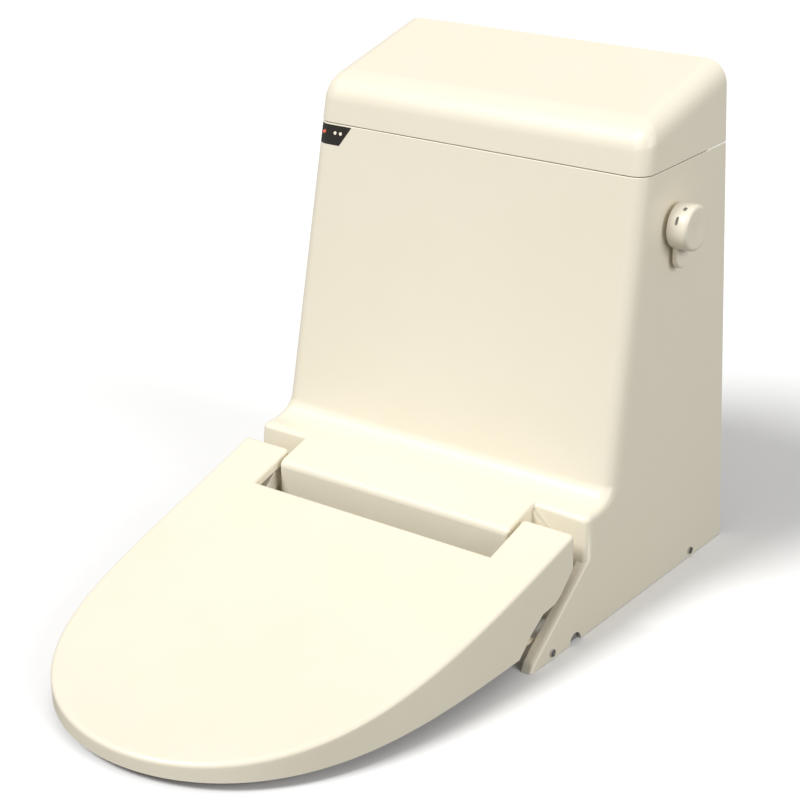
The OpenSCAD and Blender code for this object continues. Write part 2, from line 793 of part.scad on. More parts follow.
module flapper() color([0.2, 0.3, 0.5]) from_back()
    difference() {
        union() {
            translate([0, -outlet_d, valve_seat_z + 2.2]) cylinder(r = outlet_bore_r + 4, h = 4);
            both_sides() translate([11, -outlet_d, valve_seat_z + 2.2])
                cube([5, outlet_d - flap_hinge_d, 4]);
            at_flap_hinge(-16) cylinder(r = 4.5, h = 5);
            at_flap_hinge(11) cylinder(r = 4.5, h = 5);
            translate([-7, -outlet_d - 4, valve_seat_z + 4]) cube([4, 8, eye_z - valve_seat_z]);
            translate([-7, -outlet_d, eye_z]) rotate([0, 90, 0]) cylinder(r = link_pin_r, h = 14);
        }
        at_flap_hinge(-30) cylinder(r = flap_pin_r + run_gap, h = 60);
    }

module flapper_seal() color([0.1, 0.1, 0.1]) from_back()
    translate([0, -outlet_d, valve_seat_z + 0.2]) cylinder(r = outlet_bore_r + 3, h = 2);

module flapper_pin() color("silver") from_back() at_flap_hinge(-22) cylinder(r = flap_pin_r, h = 44);

chain_x = 4.5;
chain_t = 2;
tip_z = lever_z + arm_throw * sin(arm_rest);

module link(y0, y1, z) {
    r = link_pin_r + 1.8;
    translate([chain_x - chain_t / 2, 0, z]) rotate([90, 0, 90]) linear_extrude(chain_t) difference() {
        translate([y0 - r - 2, -r - 2]) square([y1 - y0 + 2 * r + 4, 2 * r + 4]);
        translate([y0 - r, -r]) square([y1 - y0 + 2 * r, 2 * r]);
    }
}

module lift_chain() color("silver") from_back() {
    low = eye_z + link_pin_r + 3;
    high = tip_z - link_pin_r - 3;
    link(-outlet_d, -outlet_d + 20, eye_z);
    link(-lever_d + arm_throw * cos(arm_rest), -outlet_d + 1, tip_z);
    translate([chain_x, -outlet_d, low]) cylinder(r = 0.8, h = high - low, $fn = 16);
    for (z = [low + 6:9:high - 4]) translate([chain_x, -outlet_d, z]) sphere(r = 2.2, $fn = 20);
}

fill_x = -112;
fill_r = 9;
float_pivot_z = tank_top_z - 34;
float_pin_r = 2;
float_l = 53;
float_r = 17;
float_drop = 40;

module fill_valve() color([0.88, 0.88, 0.86]) from_back()
    difference() {
        union() {
            translate([fill_x, -outlet_d, tank_floor_z - 22])
                cylinder(r = fill_r, h = tank_top_z - tank_floor_z - 10);
            translate([fill_x, -outlet_d, inner_floor_z]) cylinder(r = fill_r + 6, h = 5);
            translate([fill_x, -outlet_d, tank_floor_z - 11]) cylinder(r = fill_r + 6, h = 9, $fn = 6);
            translate([fill_x, -outlet_d, tank_top_z - 52]) cylinder(r = fill_r + 5, h = 30);
            for (y = [-7, 4]) translate([fill_x, -outlet_d + y, float_pivot_z - 5]) cube([24, 3, 10]);
        }
        at_float_pin(20) cylinder(r = float_pin_r, h = 40);
        translate([fill_x + 14.5, -outlet_d - 3.5, float_pivot_z - 8]) cube([20, 7, 16]);
    }

module at_float_pin(y)
    translate([fill_x + 19, -outlet_d + y, float_pivot_z]) rotate([90, 0, 0]) children();

module float_pin() color("silver") from_back() at_float_pin(7) cylinder(r = float_pin_r, h = 14);

module float_arm() color([0.7, 0.7, 0.68]) from_back()
    at_float_pin(2) rotate(-float_drop) difference() {
        linear_extrude(4) {
            circle(r = 4);
            translate([0, -1.8]) square([float_l - float_r, 3.6]);
        }
        translate([0, 0, -1]) cylinder(r = float_pin_r + run_gap, h = 6);
    }

module float_cup() color([0.95, 0.55, 0.2]) from_back()
    at_float_pin(0) rotate(-float_drop) translate([float_l, 12, 0]) rotate([90, 0, 0])
        cylinder(r = float_r, h = 34);

// ---- Water and heat ----

inlet_hex_z = 20;
valve_w = 28;

module water_inlet() color([0.8, 0.65, 0.3]) from_back()
    translate([inlet_x, -inlet_d, 0]) difference() {
        union() {
            translate([0, 0, 2]) cylinder(r = inlet_r, h = inlet_hex_z);
            translate([0, 0, inlet_hex_z]) cylinder(r = inlet_r + 5, h = 7, $fn = 6);
        }
        translate([0, 0, 1]) cylinder(r = inlet_r - 3, h = far);
    }

module water_valve() color([0.3, 0.3, 0.32]) from_back() {
    translate([inlet_x - valve_w / 2, -inlet_d - 15, inlet_hex_z + 7]) cube([valve_w, 34, 26]);
    translate([inlet_x, -inlet_d + 2, inlet_hex_z + 33]) cylinder(r = 10, h = 22);
}

heater_x = 126;
heater_d = 168;
heater_z = 56;
heater_r = 26;
heater_l = 88;

module at_heater(x)
    translate([heater_x + x, -heater_d, heater_z + heater_r]) rotate([0, 90, 0]) children();

module heater_tank() color([0.85, 0.85, 0.83]) from_back()
    difference() {
        at_heater(-heater_l / 2) cylinder(r = heater_r, h = heater_l);
        at_heater(-heater_l / 2 + 3) cylinder(r = heater_r - 3, h = heater_l - 6);
        at_heater(heater_l / 2 - 4) cylinder(r = 8, h = 10);
        translate([heater_x - 20, -heater_d, heater_z - 1]) cylinder(r = 5, h = 6);
    }

module heater_element() color([0.6, 0.4, 0.3]) from_back() {
    at_heater(heater_l / 2 - 4) cylinder(r = 8, h = 8);
    for (y = [-4, 4]) at_heater(-heater_l / 2 + 14)
        translate([0, y, 0]) cylinder(r = 2, h = heater_l - 17);
}

module drain_plug() color([0.15, 0.15, 0.15]) from_back()
    translate([heater_x - 20, -heater_d, heater_z - 9]) {
        translate([0, 0, 8]) cylinder(r = 5, h = 4);
        cylinder(r = 9, h = 8.8);
    }

// A hose along straight runs with round bends, drawn as a tube of 10 sides
hose_r = 3.5;
selector_z = 112;
function unit(v) = v / norm(v);
function hose_frame(t) = let (
        side = abs(t[2]) > 0.9 ? [1, 0, 0] : [0, 0, 1],
        u = unit(cross(side, t))
    ) [u, cross(t, u)];
function smooth(p, k) = k == 0 ? p : smooth(concat(
        [p[0]],
        [for (i = [0:len(p) - 2]) each [p[i] * 0.75 + p[i + 1] * 0.25, p[i] * 0.25 + p[i + 1] * 0.75]],
        [p[len(p) - 1]]
    ), k - 1);

module hose(route) {
    p = smooth(route, 3);
    n = len(p);
    sides = 10;
    rings = [for (i = [0:n - 1])
        let (
            t = unit(p[min(i + 1, n - 1)] - p[max(i - 1, 0)]),
            f = hose_frame(t)
        )
        for (s = [0:sides - 1]) let (a = s * 360 / sides)
            p[i] + hose_r * (cos(a) * f[0] + sin(a) * f[1])];
    polyhedron(rings, concat(
        [[for (s = [0:sides - 1]) s]],
        [for (i = [0:n - 2]) for (s = [0:sides - 1]) let (e = (s + 1) % sides)
            [i * sides + s, (i + 1) * sides + s, (i + 1) * sides + e, i * sides + e]],
        [[for (s = [sides - 1:-1:0]) (n - 1) * sides + s]]
    ));
}

cold_route = [
    [inlet_x + valve_w / 2 + 0.2, -inlet_d, 34], [inlet_x + valve_w / 2 + 8, -inlet_d, 34],
    [inlet_x + 34, -inlet_d - 20, 16], [-86, -126, 14], [0, -140, 14], [90, -140, 14],
    [heater_x + 26, -142, 18], [heater_x + 26, -heater_d, 34], [heater_x + 26, -heater_d, heater_z - 0.2]
];
warm_route = [
    [heater_x - 26, -heater_d, heater_z + 2 * heater_r + 0.2],
    [heater_x - 26, -heater_d, heater_z + 2 * heater_r + 20],
    [heater_x - 60, -heater_d, 140], [20, -168, 150],
    [0, -170, selector_z + 36], [0, -170, selector_z + 26]
];

module cold_hose() color([0.4, 0.5, 0.7]) from_back() hose(cold_route);
module warm_hose() color([0.7, 0.4, 0.35]) from_back() hose(warm_route);

module flow_selector() color([0.35, 0.35, 0.38]) from_back() {
    translate([-22, -184, selector_z]) cube([44, 28, 14]);
    translate([0, -170, selector_z + 14]) cylinder(r = 10, h = 12);
}

// ---- Nozzles ----

nozzle_mouth = [0, -284, 24];
nozzle_x = 9.5;
guide_l0 = 6;
guide_l1 = 84;
guide_half = 17.5;
pitch_r = pinion_teeth * tooth_module / 2;
pitch = PI * tooth_module;
rack_w = 5;
rack_root_z = nozzle_r + 2;
rack_pitch_z = rack_root_z + tooth_module;
pinion_z = rack_pitch_z + pitch_r;
pinion_y = 20;
tooth_h = 0.75 * tooth_module;
tooth_half = 0.32 * tooth_module;
rack_y0 = 10;

module at_nozzles() translate(nozzle_mouth) rotate([nozzle_slope, 0, 0]) children();
module lying(y0) translate([0, y0, 0]) rotate([-90, 0, 0]) children();

module nozzle_guide() color([0.5, 0.5, 0.5]) from_back() {
    at_nozzles() difference() {
        translate([-guide_half, guide_l0, -nozzle_r - 2.5])
            cube([2 * guide_half, guide_l1 - guide_l0, 2 * nozzle_r + 4]);
        for (x = [-nozzle_x, nozzle_x]) {
            translate([x, 0, 0]) lying(0) cylinder(r = nozzle_r + 0.3, h = 200);
            translate([x - rack_w / 2 - part_gap, 0, 0]) cube([rack_w + 2 * part_gap, 200, 40]);
        }
    }
}

// Nozzle with its rack, along +Y from the mouth
module nozzle(x) color([0.92, 0.92, 0.9]) from_back() at_nozzles() translate([x, 0, 0]) {
    difference() {
        lying(2) cylinder(r = nozzle_r, h = nozzle_l);
        lying(-4) cylinder(r = nozzle_r - 1.6, h = 12);
    }
    translate([-rack_w / 2, rack_y0, nozzle_r - 2])
        cube([rack_w, nozzle_l + 2 - rack_y0, rack_root_z - nozzle_r + 2]);
    // rack teeth, one gap centred under the pinion
    for (y = [pinion_y - 2.5 * pitch:pitch:nozzle_l - 1])
        translate([-rack_w / 2, y, rack_root_z]) rotate([90, 0, 90]) linear_extrude(rack_w)
            polygon([
                [-tooth_half * 2.2, -0.2], [tooth_half * 2.2, -0.2],
                [tooth_half, tooth_module + tooth_h], [-tooth_half, tooth_module + tooth_h]
            ]);
}

module rear_nozzle() nozzle(-nozzle_x);
module front_nozzle() nozzle(nozzle_x);

module pinion(x) color([0.9, 0.85, 0.6]) from_back() at_nozzles()
    translate([x - rack_w / 2, pinion_y, pinion_z]) rotate([90, 0, 90]) difference() {
        linear_extrude(rack_w) union() {
            circle(r = pitch_r - tooth_module);
            for (i = [0:pinion_teeth - 1]) rotate(i * 360 / pinion_teeth - 90)
                polygon([
                    [pitch_r - 1.3 * tooth_module, -tooth_half * 2], [pitch_r, -tooth_half * 1.7],
                    [pitch_r + tooth_h, -tooth_half * 0.8], [pitch_r + tooth_h, tooth_half * 0.8],
                    [pitch_r, tooth_half * 1.7], [pitch_r - 1.3 * tooth_module, tooth_half * 2]
                ]);
        }
        translate([0, 0, -1]) cylinder(r = motor_shaft_r + run_gap, h = rack_w + 2);
    }

module rear_pinion() pinion(-nozzle_x);
module front_pinion() pinion(nozzle_x);

motor_shaft_r = 1.5;
motor_r = 8.5;

module nozzle_motors() color([0.45, 0.45, 0.5]) from_back() at_nozzles() both_sides()
    translate([0, pinion_y, pinion_z]) rotate([0, 90, 0]) {
        translate([0, 0, guide_half + 0.6]) cylinder(r = motor_r, h = 16);
        translate([0, 0, nozzle_x - rack_w / 2])
            cylinder(r = motor_shaft_r, h = guide_half + 2 - nozzle_x + rack_w / 2);
    }

// ---- Deodoriser ----

fan_x = 120;
fan_d = 216;
fan_r = 24;
fan_h = 24;

module at_fan(z) translate([fan_x, -fan_d, chassis_t + z]) children();

module fan_housing() color([0.3, 0.3, 0.3]) from_back()
    difference() {
        at_fan(0.2) cylinder(r = fan_r, h = fan_h);
        at_fan(2.2) cylinder(r = fan_r - 2, h = fan_h - 4);
        at_fan(-1) cylinder(r = 11, h = 6);
        at_fan(fan_h - 3) cylinder(r = 7.6, h = 6);
    }

module fan_motor() color([0.5, 0.5, 0.5]) from_back() {
    at_fan(fan_h - 2) cylinder(r = 7.5, h = 12);
    at_fan(6) cylinder(r = 1.5, h = fan_h - 7);
}

module fan_impeller() color([0.15, 0.15, 0.15]) from_back()
    at_fan(4) difference() {
        union() {
            cylinder(r = 5, h = 15);
            cylinder(r = fan_r - 4, h = 1.2);
            for (a = [0:36:324]) rotate(a) translate([4, -0.6, 0]) cube([fan_r - 9, 1.2, 15]);
        }
        translate([0, 0, 1.5]) cylinder(r = 1.5 + run_gap, h = 30);
    }

module deodoriser_filter() color([0.1, 0.1, 0.1]) from_back()
    difference() {
        translate([fan_x - 26, -shoulder_d + wall + 1, chassis_t + 30]) cube([52, 22, 20]);
        for (x = [-20:8:20]) translate([fan_x + x, -far / 2, chassis_t + 33]) cube([3, far, 14]);
    }

// ---- Electrics ----

power_x = -132;
power_d = 168;

module power_unit() color([0.2, 0.2, 0.22]) from_back() {
    translate([power_x - 40, -power_d - 26, chassis_t + 0.2]) cube([80, 50, 40]);
    for (x = [-30:12:30]) translate([power_x + x, -power_d - 20, chassis_t + 40]) cube([4, 38, 3]);
}

module control_board() color([0.1, 0.4, 0.2]) from_back() {
    translate([power_x - 42, -148, 62]) cube([84, 2, 100]);
    translate([power_x - 30, -158, 74]) cube([22, 10.1, 26]);
    for (x = [0, 16]) translate([power_x + x, -148 + 0.1, 90]) rotate([90, 0, 0]) cylinder(r = 6, h = 14);
    translate([power_x - 24, -153, 124]) cube([30, 5.1, 22]);
}

main_casing();
back_panel();
chassis();
casing_screws();
top_cover();
indicator_window();
indicator_lamps();
indicator_board();
lid();
lid_bumpers();
lid_hinge_pin();
lid_damper();
seat_upper();
seat_lower();
seat_heater();
seat_bumpers();
seat_hinge_pin();
seat_damper();
flush_lever();
lever_shaft();
lever_arm();
lever_bush();
lever_nut();
flush_tank();
flush_valve();
outlet_nut();
outlet_gasket();
flapper();
flapper_seal();
flapper_pin();
lift_chain();
fill_valve();
float_arm();
float_cup();
float_pin();
water_inlet();
water_valve();
heater_tank();
heater_element();
drain_plug();
cold_hose();
warm_hose();
flow_selector();
nozzle_guide();
rear_nozzle();
front_nozzle();
rear_pinion();
front_pinion();
nozzle_motors();
fan_housing();
fan_impeller();
fan_motor();
deodoriser_filter();
power_unit();
control_board();
cable_gland();
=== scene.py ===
import bpy, bmesh, json
from math import sin, cos, tan, atan2, radians, pi
from mathutils import Vector, Matrix


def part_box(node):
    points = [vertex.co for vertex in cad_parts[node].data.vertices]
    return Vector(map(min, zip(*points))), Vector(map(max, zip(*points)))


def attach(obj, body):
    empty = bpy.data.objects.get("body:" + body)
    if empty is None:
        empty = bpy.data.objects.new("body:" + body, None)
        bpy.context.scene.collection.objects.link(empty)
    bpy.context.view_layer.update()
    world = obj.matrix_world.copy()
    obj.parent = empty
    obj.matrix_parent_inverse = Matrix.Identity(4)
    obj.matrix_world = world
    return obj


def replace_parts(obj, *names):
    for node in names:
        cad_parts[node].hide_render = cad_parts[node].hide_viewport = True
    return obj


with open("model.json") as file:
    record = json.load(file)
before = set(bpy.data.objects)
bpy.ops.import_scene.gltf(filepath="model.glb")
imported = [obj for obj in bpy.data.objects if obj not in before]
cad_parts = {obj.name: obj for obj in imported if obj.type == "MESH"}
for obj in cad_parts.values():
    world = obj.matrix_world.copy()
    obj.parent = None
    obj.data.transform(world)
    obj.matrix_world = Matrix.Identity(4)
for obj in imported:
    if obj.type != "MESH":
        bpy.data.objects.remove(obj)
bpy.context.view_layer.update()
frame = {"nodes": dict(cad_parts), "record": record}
scene = bpy.context.scene
mm = 0.001
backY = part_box("main_casing")[1][1]  # open back of the casing; depths are measured forward from it
print("frame loaded:", len(frame["nodes"]), "parts")


def at(x, depth, z):
    return Vector((x * mm, backY - depth * mm, z * mm))


def across(x, point):  # a point of a side outline, given as depth and height
    return at(x, point[0], point[1])


def forward(depth, point):  # a point of a front outline, given as x and height
    return at(point[0], depth, point[1])


def newMaterial(name):
    mat = bpy.data.materials.new(name)
    mat.use_nodes = True
    return mat, mat.node_tree, mat.node_tree.nodes["Principled BSDF"]


# Camera, floor and lights

camera = {"target": (-0.1566, 0.1420, 0.0917), "distance": 2.2765, "azimuth": 37.9, "elevation": 22.9,
          "roll": -1.6, "lens": 93.13}


def placeCamera():
    a, e, r = (radians(camera[k]) for k in ("azimuth", "elevation", "roll"))
    back = Vector((sin(a) * cos(e), -cos(a) * cos(e), sin(e)))
    right = Vector((cos(a), sin(a), 0))
    up = back.cross(right)
    turned = right * cos(r) + up * sin(r)
    top = up * cos(r) - right * sin(r)
    data = bpy.data.cameras.new("camera")
    data.lens = camera["lens"]
    data.sensor_width = 36
    ob = bpy.data.objects.new("camera", data)
    scene.collection.objects.link(ob)
    m = Matrix((turned, top, back)).transposed().to_4x4()
    m.translation = Vector(camera["target"]) + back * camera["distance"]
    ob.matrix_world = m
    scene.camera = ob


placeCamera()

studio = {"floorSize": 12.0, "floorDrop": 0.0004, "floorSeen": 0.95, "floorBounce": 0.15, "worldStrength": 0.43,
          "key": {"from": (-0.32, -0.56, 0.77), "spread": 22, "strength": 2.4},
          "side": {"from": (0.92, -0.08, 0.38), "spread": 34, "strength": 1.3}}


def sunLight(name, values):
    data = bpy.data.lights.new(name, "SUN")
    data.energy = values["strength"]
    data.angle = radians(values["spread"])
    ob = bpy.data.objects.new(name, data)
    scene.collection.objects.link(ob)
    ob.rotation_euler = (-Vector(values["from"])).to_track_quat("-Z", "Y").to_euler()


def buildFloor():
    s = studio["floorSize"] / 2
    mesh = bpy.data.meshes.new("floor")
    mesh.from_pydata([(-s, -s, 0), (s, -s, 0), (s, s, 0), (-s, s, 0)], [], [(0, 1, 2, 3)])
    ob = bpy.data.objects.new("floor", mesh)
    ob.location.z = -studio["floorDrop"]
    scene.collection.objects.link(ob)
    mat, tree, shader = newMaterial("floorPaper")
    path = tree.nodes.new("ShaderNodeLightPath")
    pale = tree.nodes.new("ShaderNodeMix")  # pale to the eye, and throws back less light onto the sides
    pale.data_type = "RGBA"
    pale.inputs[6].default_value = (studio["floorBounce"],) * 3 + (1,)
    pale.inputs[7].default_value = (studio["floorSeen"],) * 3 + (1,)
    tree.links.new(path.outputs["Is Camera Ray"], pale.inputs[0])
    tree.links.new(pale.outputs[2], shader.inputs["Base Color"])
    shader.inputs["Roughness"].default_value = 0.9
    shader.inputs["Specular IOR Level"].default_value = 0.0
    mesh.materials.append(mat)


def buildStudio():
    sunLight("keyLight", studio["key"])
    sunLight("sideLight", studio["side"])
    world = bpy.data.worlds.new("studio")
    scene.world = world
    world.use_nodes = True
    sky = world.node_tree.nodes["Background"]
    sky.inputs["Color"].default_value = (1, 0.995, 0.985, 1)
    sky.inputs["Strength"].default_value = studio["worldStrength"]
    buildFloor()


buildStudio()
scene.view_settings.view_transform = "Standard"  # keeps the pale plastics and the floor white
print("camera, lights and floor ready")


# Shader groups shared by the finishes

def newGroup(name, inputs, outputs):
    tree = bpy.data.node_groups.new(name, "ShaderNodeTree")
    for label, kind, value in inputs:
        socket = tree.interface.new_socket(label, in_out="INPUT", socket_type="NodeSocket" + kind)
        socket.default_value = value
    for label, kind in outputs:
        tree.interface.new_socket(label, in_out="OUTPUT", socket_type="NodeSocket" + kind)
    return tree, tree.nodes.new("NodeGroupInput"), tree.nodes.new("NodeGroupOutput")


def feed(tree, target, source):  # a link from another socket, or a plain value
    if isinstance(source, bpy.types.NodeSocket):
        tree.links.new(source, target)
    else:
        target.default_value = source


def addNode(tree, kind, links=None, **settings):
    node = tree.nodes.new(kind)
    for key, value in settings.items():
        setattr(node, key, value)
    for socket, source in (links or {}).items():
        feed(tree, node.inputs[socket], source)
    return node


def mathNode(tree, operation, a, b=0.0, clamp=False):
    return addNode(tree, "ShaderNodeMath", {0: a, 1: b}, operation=operation, use_clamp=clamp).outputs[0]


def mixColor(tree, factor, a, b):
    node = tree.nodes.new("ShaderNodeMix")
    node.data_type = "RGBA"
    for index, source in ((0, factor), (6, a), (7, b)):
        feed(tree, node.inputs[index], source)
    return node.outputs[2]


def mapRange(tree, value, low, high, toLow, toHigh):
    return addNode(tree, "ShaderNodeMapRange",
                   {"Value": value, "From Min": low, "From Max": high, "To Min": toLow, "To Max": toHigh}).outputs[0]


def buildEdgeWear():  # mask that is 1 on worn outer edges, broken up by a coarse noise
    tree, gin, gout = newGroup("edgeWear", [("Radius", "Float", 0.0015), ("Break Scale", "Float", 60.0)],
                               [("Mask", "Float")])
    bevel = addNode(tree, "ShaderNodeBevel", {"Radius": gin.outputs["Radius"]}, samples=4)
    geometry = addNode(tree, "ShaderNodeNewGeometry")
    dot = addNode(tree, "ShaderNodeVectorMath", {0: bevel.outputs[0], 1: geometry.outputs["Normal"]},
                  operation="DOT_PRODUCT").outputs["Value"]
    edge = mapRange(tree, dot, 0.99, 0.8, 0.0, 1.0)
    coords = addNode(tree, "ShaderNodeTexCoord")
    noise = addNode(tree, "ShaderNodeTexNoise",
                    {"Vector": coords.outputs["Object"], "Scale": gin.outputs["Break Scale"], "Detail": 2.0})
    broken = mapRange(tree, noise.outputs[0], 0.35, 0.65, 0.25, 1.0)
    tree.links.new(mathNode(tree, "MULTIPLY", edge, broken, True), gout.inputs["Mask"])
    return tree


def buildMouldedSkin():  # colour, gloss and height of a plastic or rubber moulding
    tree, gin, gout = newGroup("mouldedSkin", [
        ("Color", "Color", (0.8, 0.8, 0.8, 1)), ("Aged Color", "Color", (0.7, 0.7, 0.6, 1)),
        ("Edge Color", "Color", (0.9, 0.9, 0.9, 1)), ("Tone Scale", "Float", 7.0),
        ("Grain Scale", "Float", 900.0), ("Smooth", "Float", 0.25), ("Dull", "Float", 0.4),
        ("Wear Radius", "Float", 0.0015)],
        [("Color", "Color"), ("Roughness", "Float"), ("Height", "Float")])
    coords = addNode(tree, "ShaderNodeTexCoord").outputs["Object"]
    tone = addNode(tree, "ShaderNodeTexNoise",
                   {"Vector": coords, "Scale": gin.outputs["Tone Scale"], "Detail": 4.0, "Roughness": 0.55}).outputs[0]
    speck = addNode(tree, "ShaderNodeTexNoise",
                    {"Vector": coords, "Scale": gin.outputs["Grain Scale"], "Detail": 2.0}).outputs[0]
    peel = addNode(tree, "ShaderNodeTexNoise", {"Vector": coords, "Scale": 160.0, "Detail": 1.0}).outputs[0]
    aged = mathNode(tree, "ADD", mapRange(tree, tone, 0.35, 0.7, 0.0, 0.75),
                    mapRange(tree, speck, 0.4, 0.7, 0.0, 0.25), True)
    color = mixColor(tree, aged, gin.outputs["Color"], gin.outputs["Aged Color"])
    wear = addNode(tree, "ShaderNodeGroup", node_tree=bpy.data.node_groups["edgeWear"])
    tree.links.new(gin.outputs["Wear Radius"], wear.inputs["Radius"])
    color = mixColor(tree, wear.outputs["Mask"], color, gin.outputs["Edge Color"])
    tree.links.new(color, gout.inputs["Color"])
    gloss = mapRange(tree, tone, 0.3, 0.7, gin.outputs["Smooth"], gin.outputs["Dull"])
    gloss = mathNode(tree, "ADD", gloss, mapRange(tree, speck, 0.3, 0.7, -0.03, 0.03), True)
    tree.links.new(gloss, gout.inputs["Roughness"])
    tree.links.new(mathNode(tree, "ADD", mathNode(tree, "MULTIPLY", speck, 0.25), peel), gout.inputs["Height"])
    return tree


def buildMetalSkin():  # streaked metal, streaks across the chosen axis
    tree, gin, gout = newGroup("metalSkin", [
        ("Color", "Color", (0.6, 0.6, 0.6, 1)), ("Stain", "Color", (0.4, 0.4, 0.4, 1)),
        ("Streak", "Vector", (20.0, 900.0, 900.0)), ("Smooth", "Float", 0.2), ("Dull", "Float", 0.45)],
        [("Color", "Color"), ("Roughness", "Float"), ("Height", "Float")])
    coords = addNode(tree, "ShaderNodeTexCoord").outputs["Object"]
    stretched = addNode(tree, "ShaderNodeVectorMath", {0: coords, 1: gin.outputs["Streak"]},
                        operation="MULTIPLY").outputs[0]
    streak = addNode(tree, "ShaderNodeTexNoise", {"Vector": stretched, "Scale": 1.0, "Detail": 3.0}).outputs[0]
    stain = addNode(tree, "ShaderNodeTexNoise", {"Vector": coords, "Scale": 45.0, "Detail": 4.0}).outputs[0]
    tree.links.new(mixColor(tree, mapRange(tree, stain, 0.45, 0.75, 0.0, 0.8), gin.outputs["Color"],
                            gin.outputs["Stain"]), gout.inputs["Color"])
    tree.links.new(mapRange(tree, streak, 0.3, 0.7, gin.outputs["Smooth"], gin.outputs["Dull"]),
                   gout.inputs["Roughness"])
    tree.links.new(streak, gout.inputs["Height"])
    return tree


buildEdgeWear()
buildMouldedSkin()
buildMetalSkin()


# Finishes, one for each material slot of the record

def rgb(values):
    return tuple(values) + (1,)


def surface(name, group, values, bump, bumpDepth, **sockets):
    mat, tree, shader = newMaterial(name)
    skin = addNode(tree, "ShaderNodeGroup", node_tree=bpy.data.node_groups[group])
    for key, value in values.items():
        skin.inputs[key].default_value = value
    tree.links.new(skin.outputs["Color"], shader.inputs["Base Color"])
    tree.links.new(skin.outputs["Roughness"], shader.inputs["Roughness"])
    relief = addNode(tree, "ShaderNodeBump",
                     {"Strength": bump, "Distance": bumpDepth, "Height": skin.outputs["Height"]})
    tree.links.new(relief.outputs[0], shader.inputs["Normal"])
    for key, value in sockets.items():
        shader.inputs[key.replace("_", " ")].default_value = value
    return mat


def moulded(name, color, aged, edge, smooth, dull, bump=0.12, depth=0.0002, tone=7.0, grain=900.0, wear=0.0012,
            **sockets):
    return surface(name, "mouldedSkin", {
        "Color": rgb(color), "Aged Color": rgb(aged), "Edge Color": rgb(edge), "Tone Scale": tone,
        "Grain Scale": grain, "Smooth": smooth, "Dull": dull, "Wear Radius": wear}, bump, depth, **sockets)


def metal(name, color, stain, smooth, dull, streak=(20.0, 900.0, 900.0), bump=0.15):
    return surface(name, "metalSkin", {
        "Color": rgb(color), "Stain": rgb(stain), "Streak": streak, "Smooth": smooth, "Dull": dull},
        bump, 0.0001, Metallic=1.0)


ivory = {"color": (0.87, 0.815, 0.67), "aged": (0.85, 0.785, 0.63), "edge": (0.89, 0.845, 0.72)}

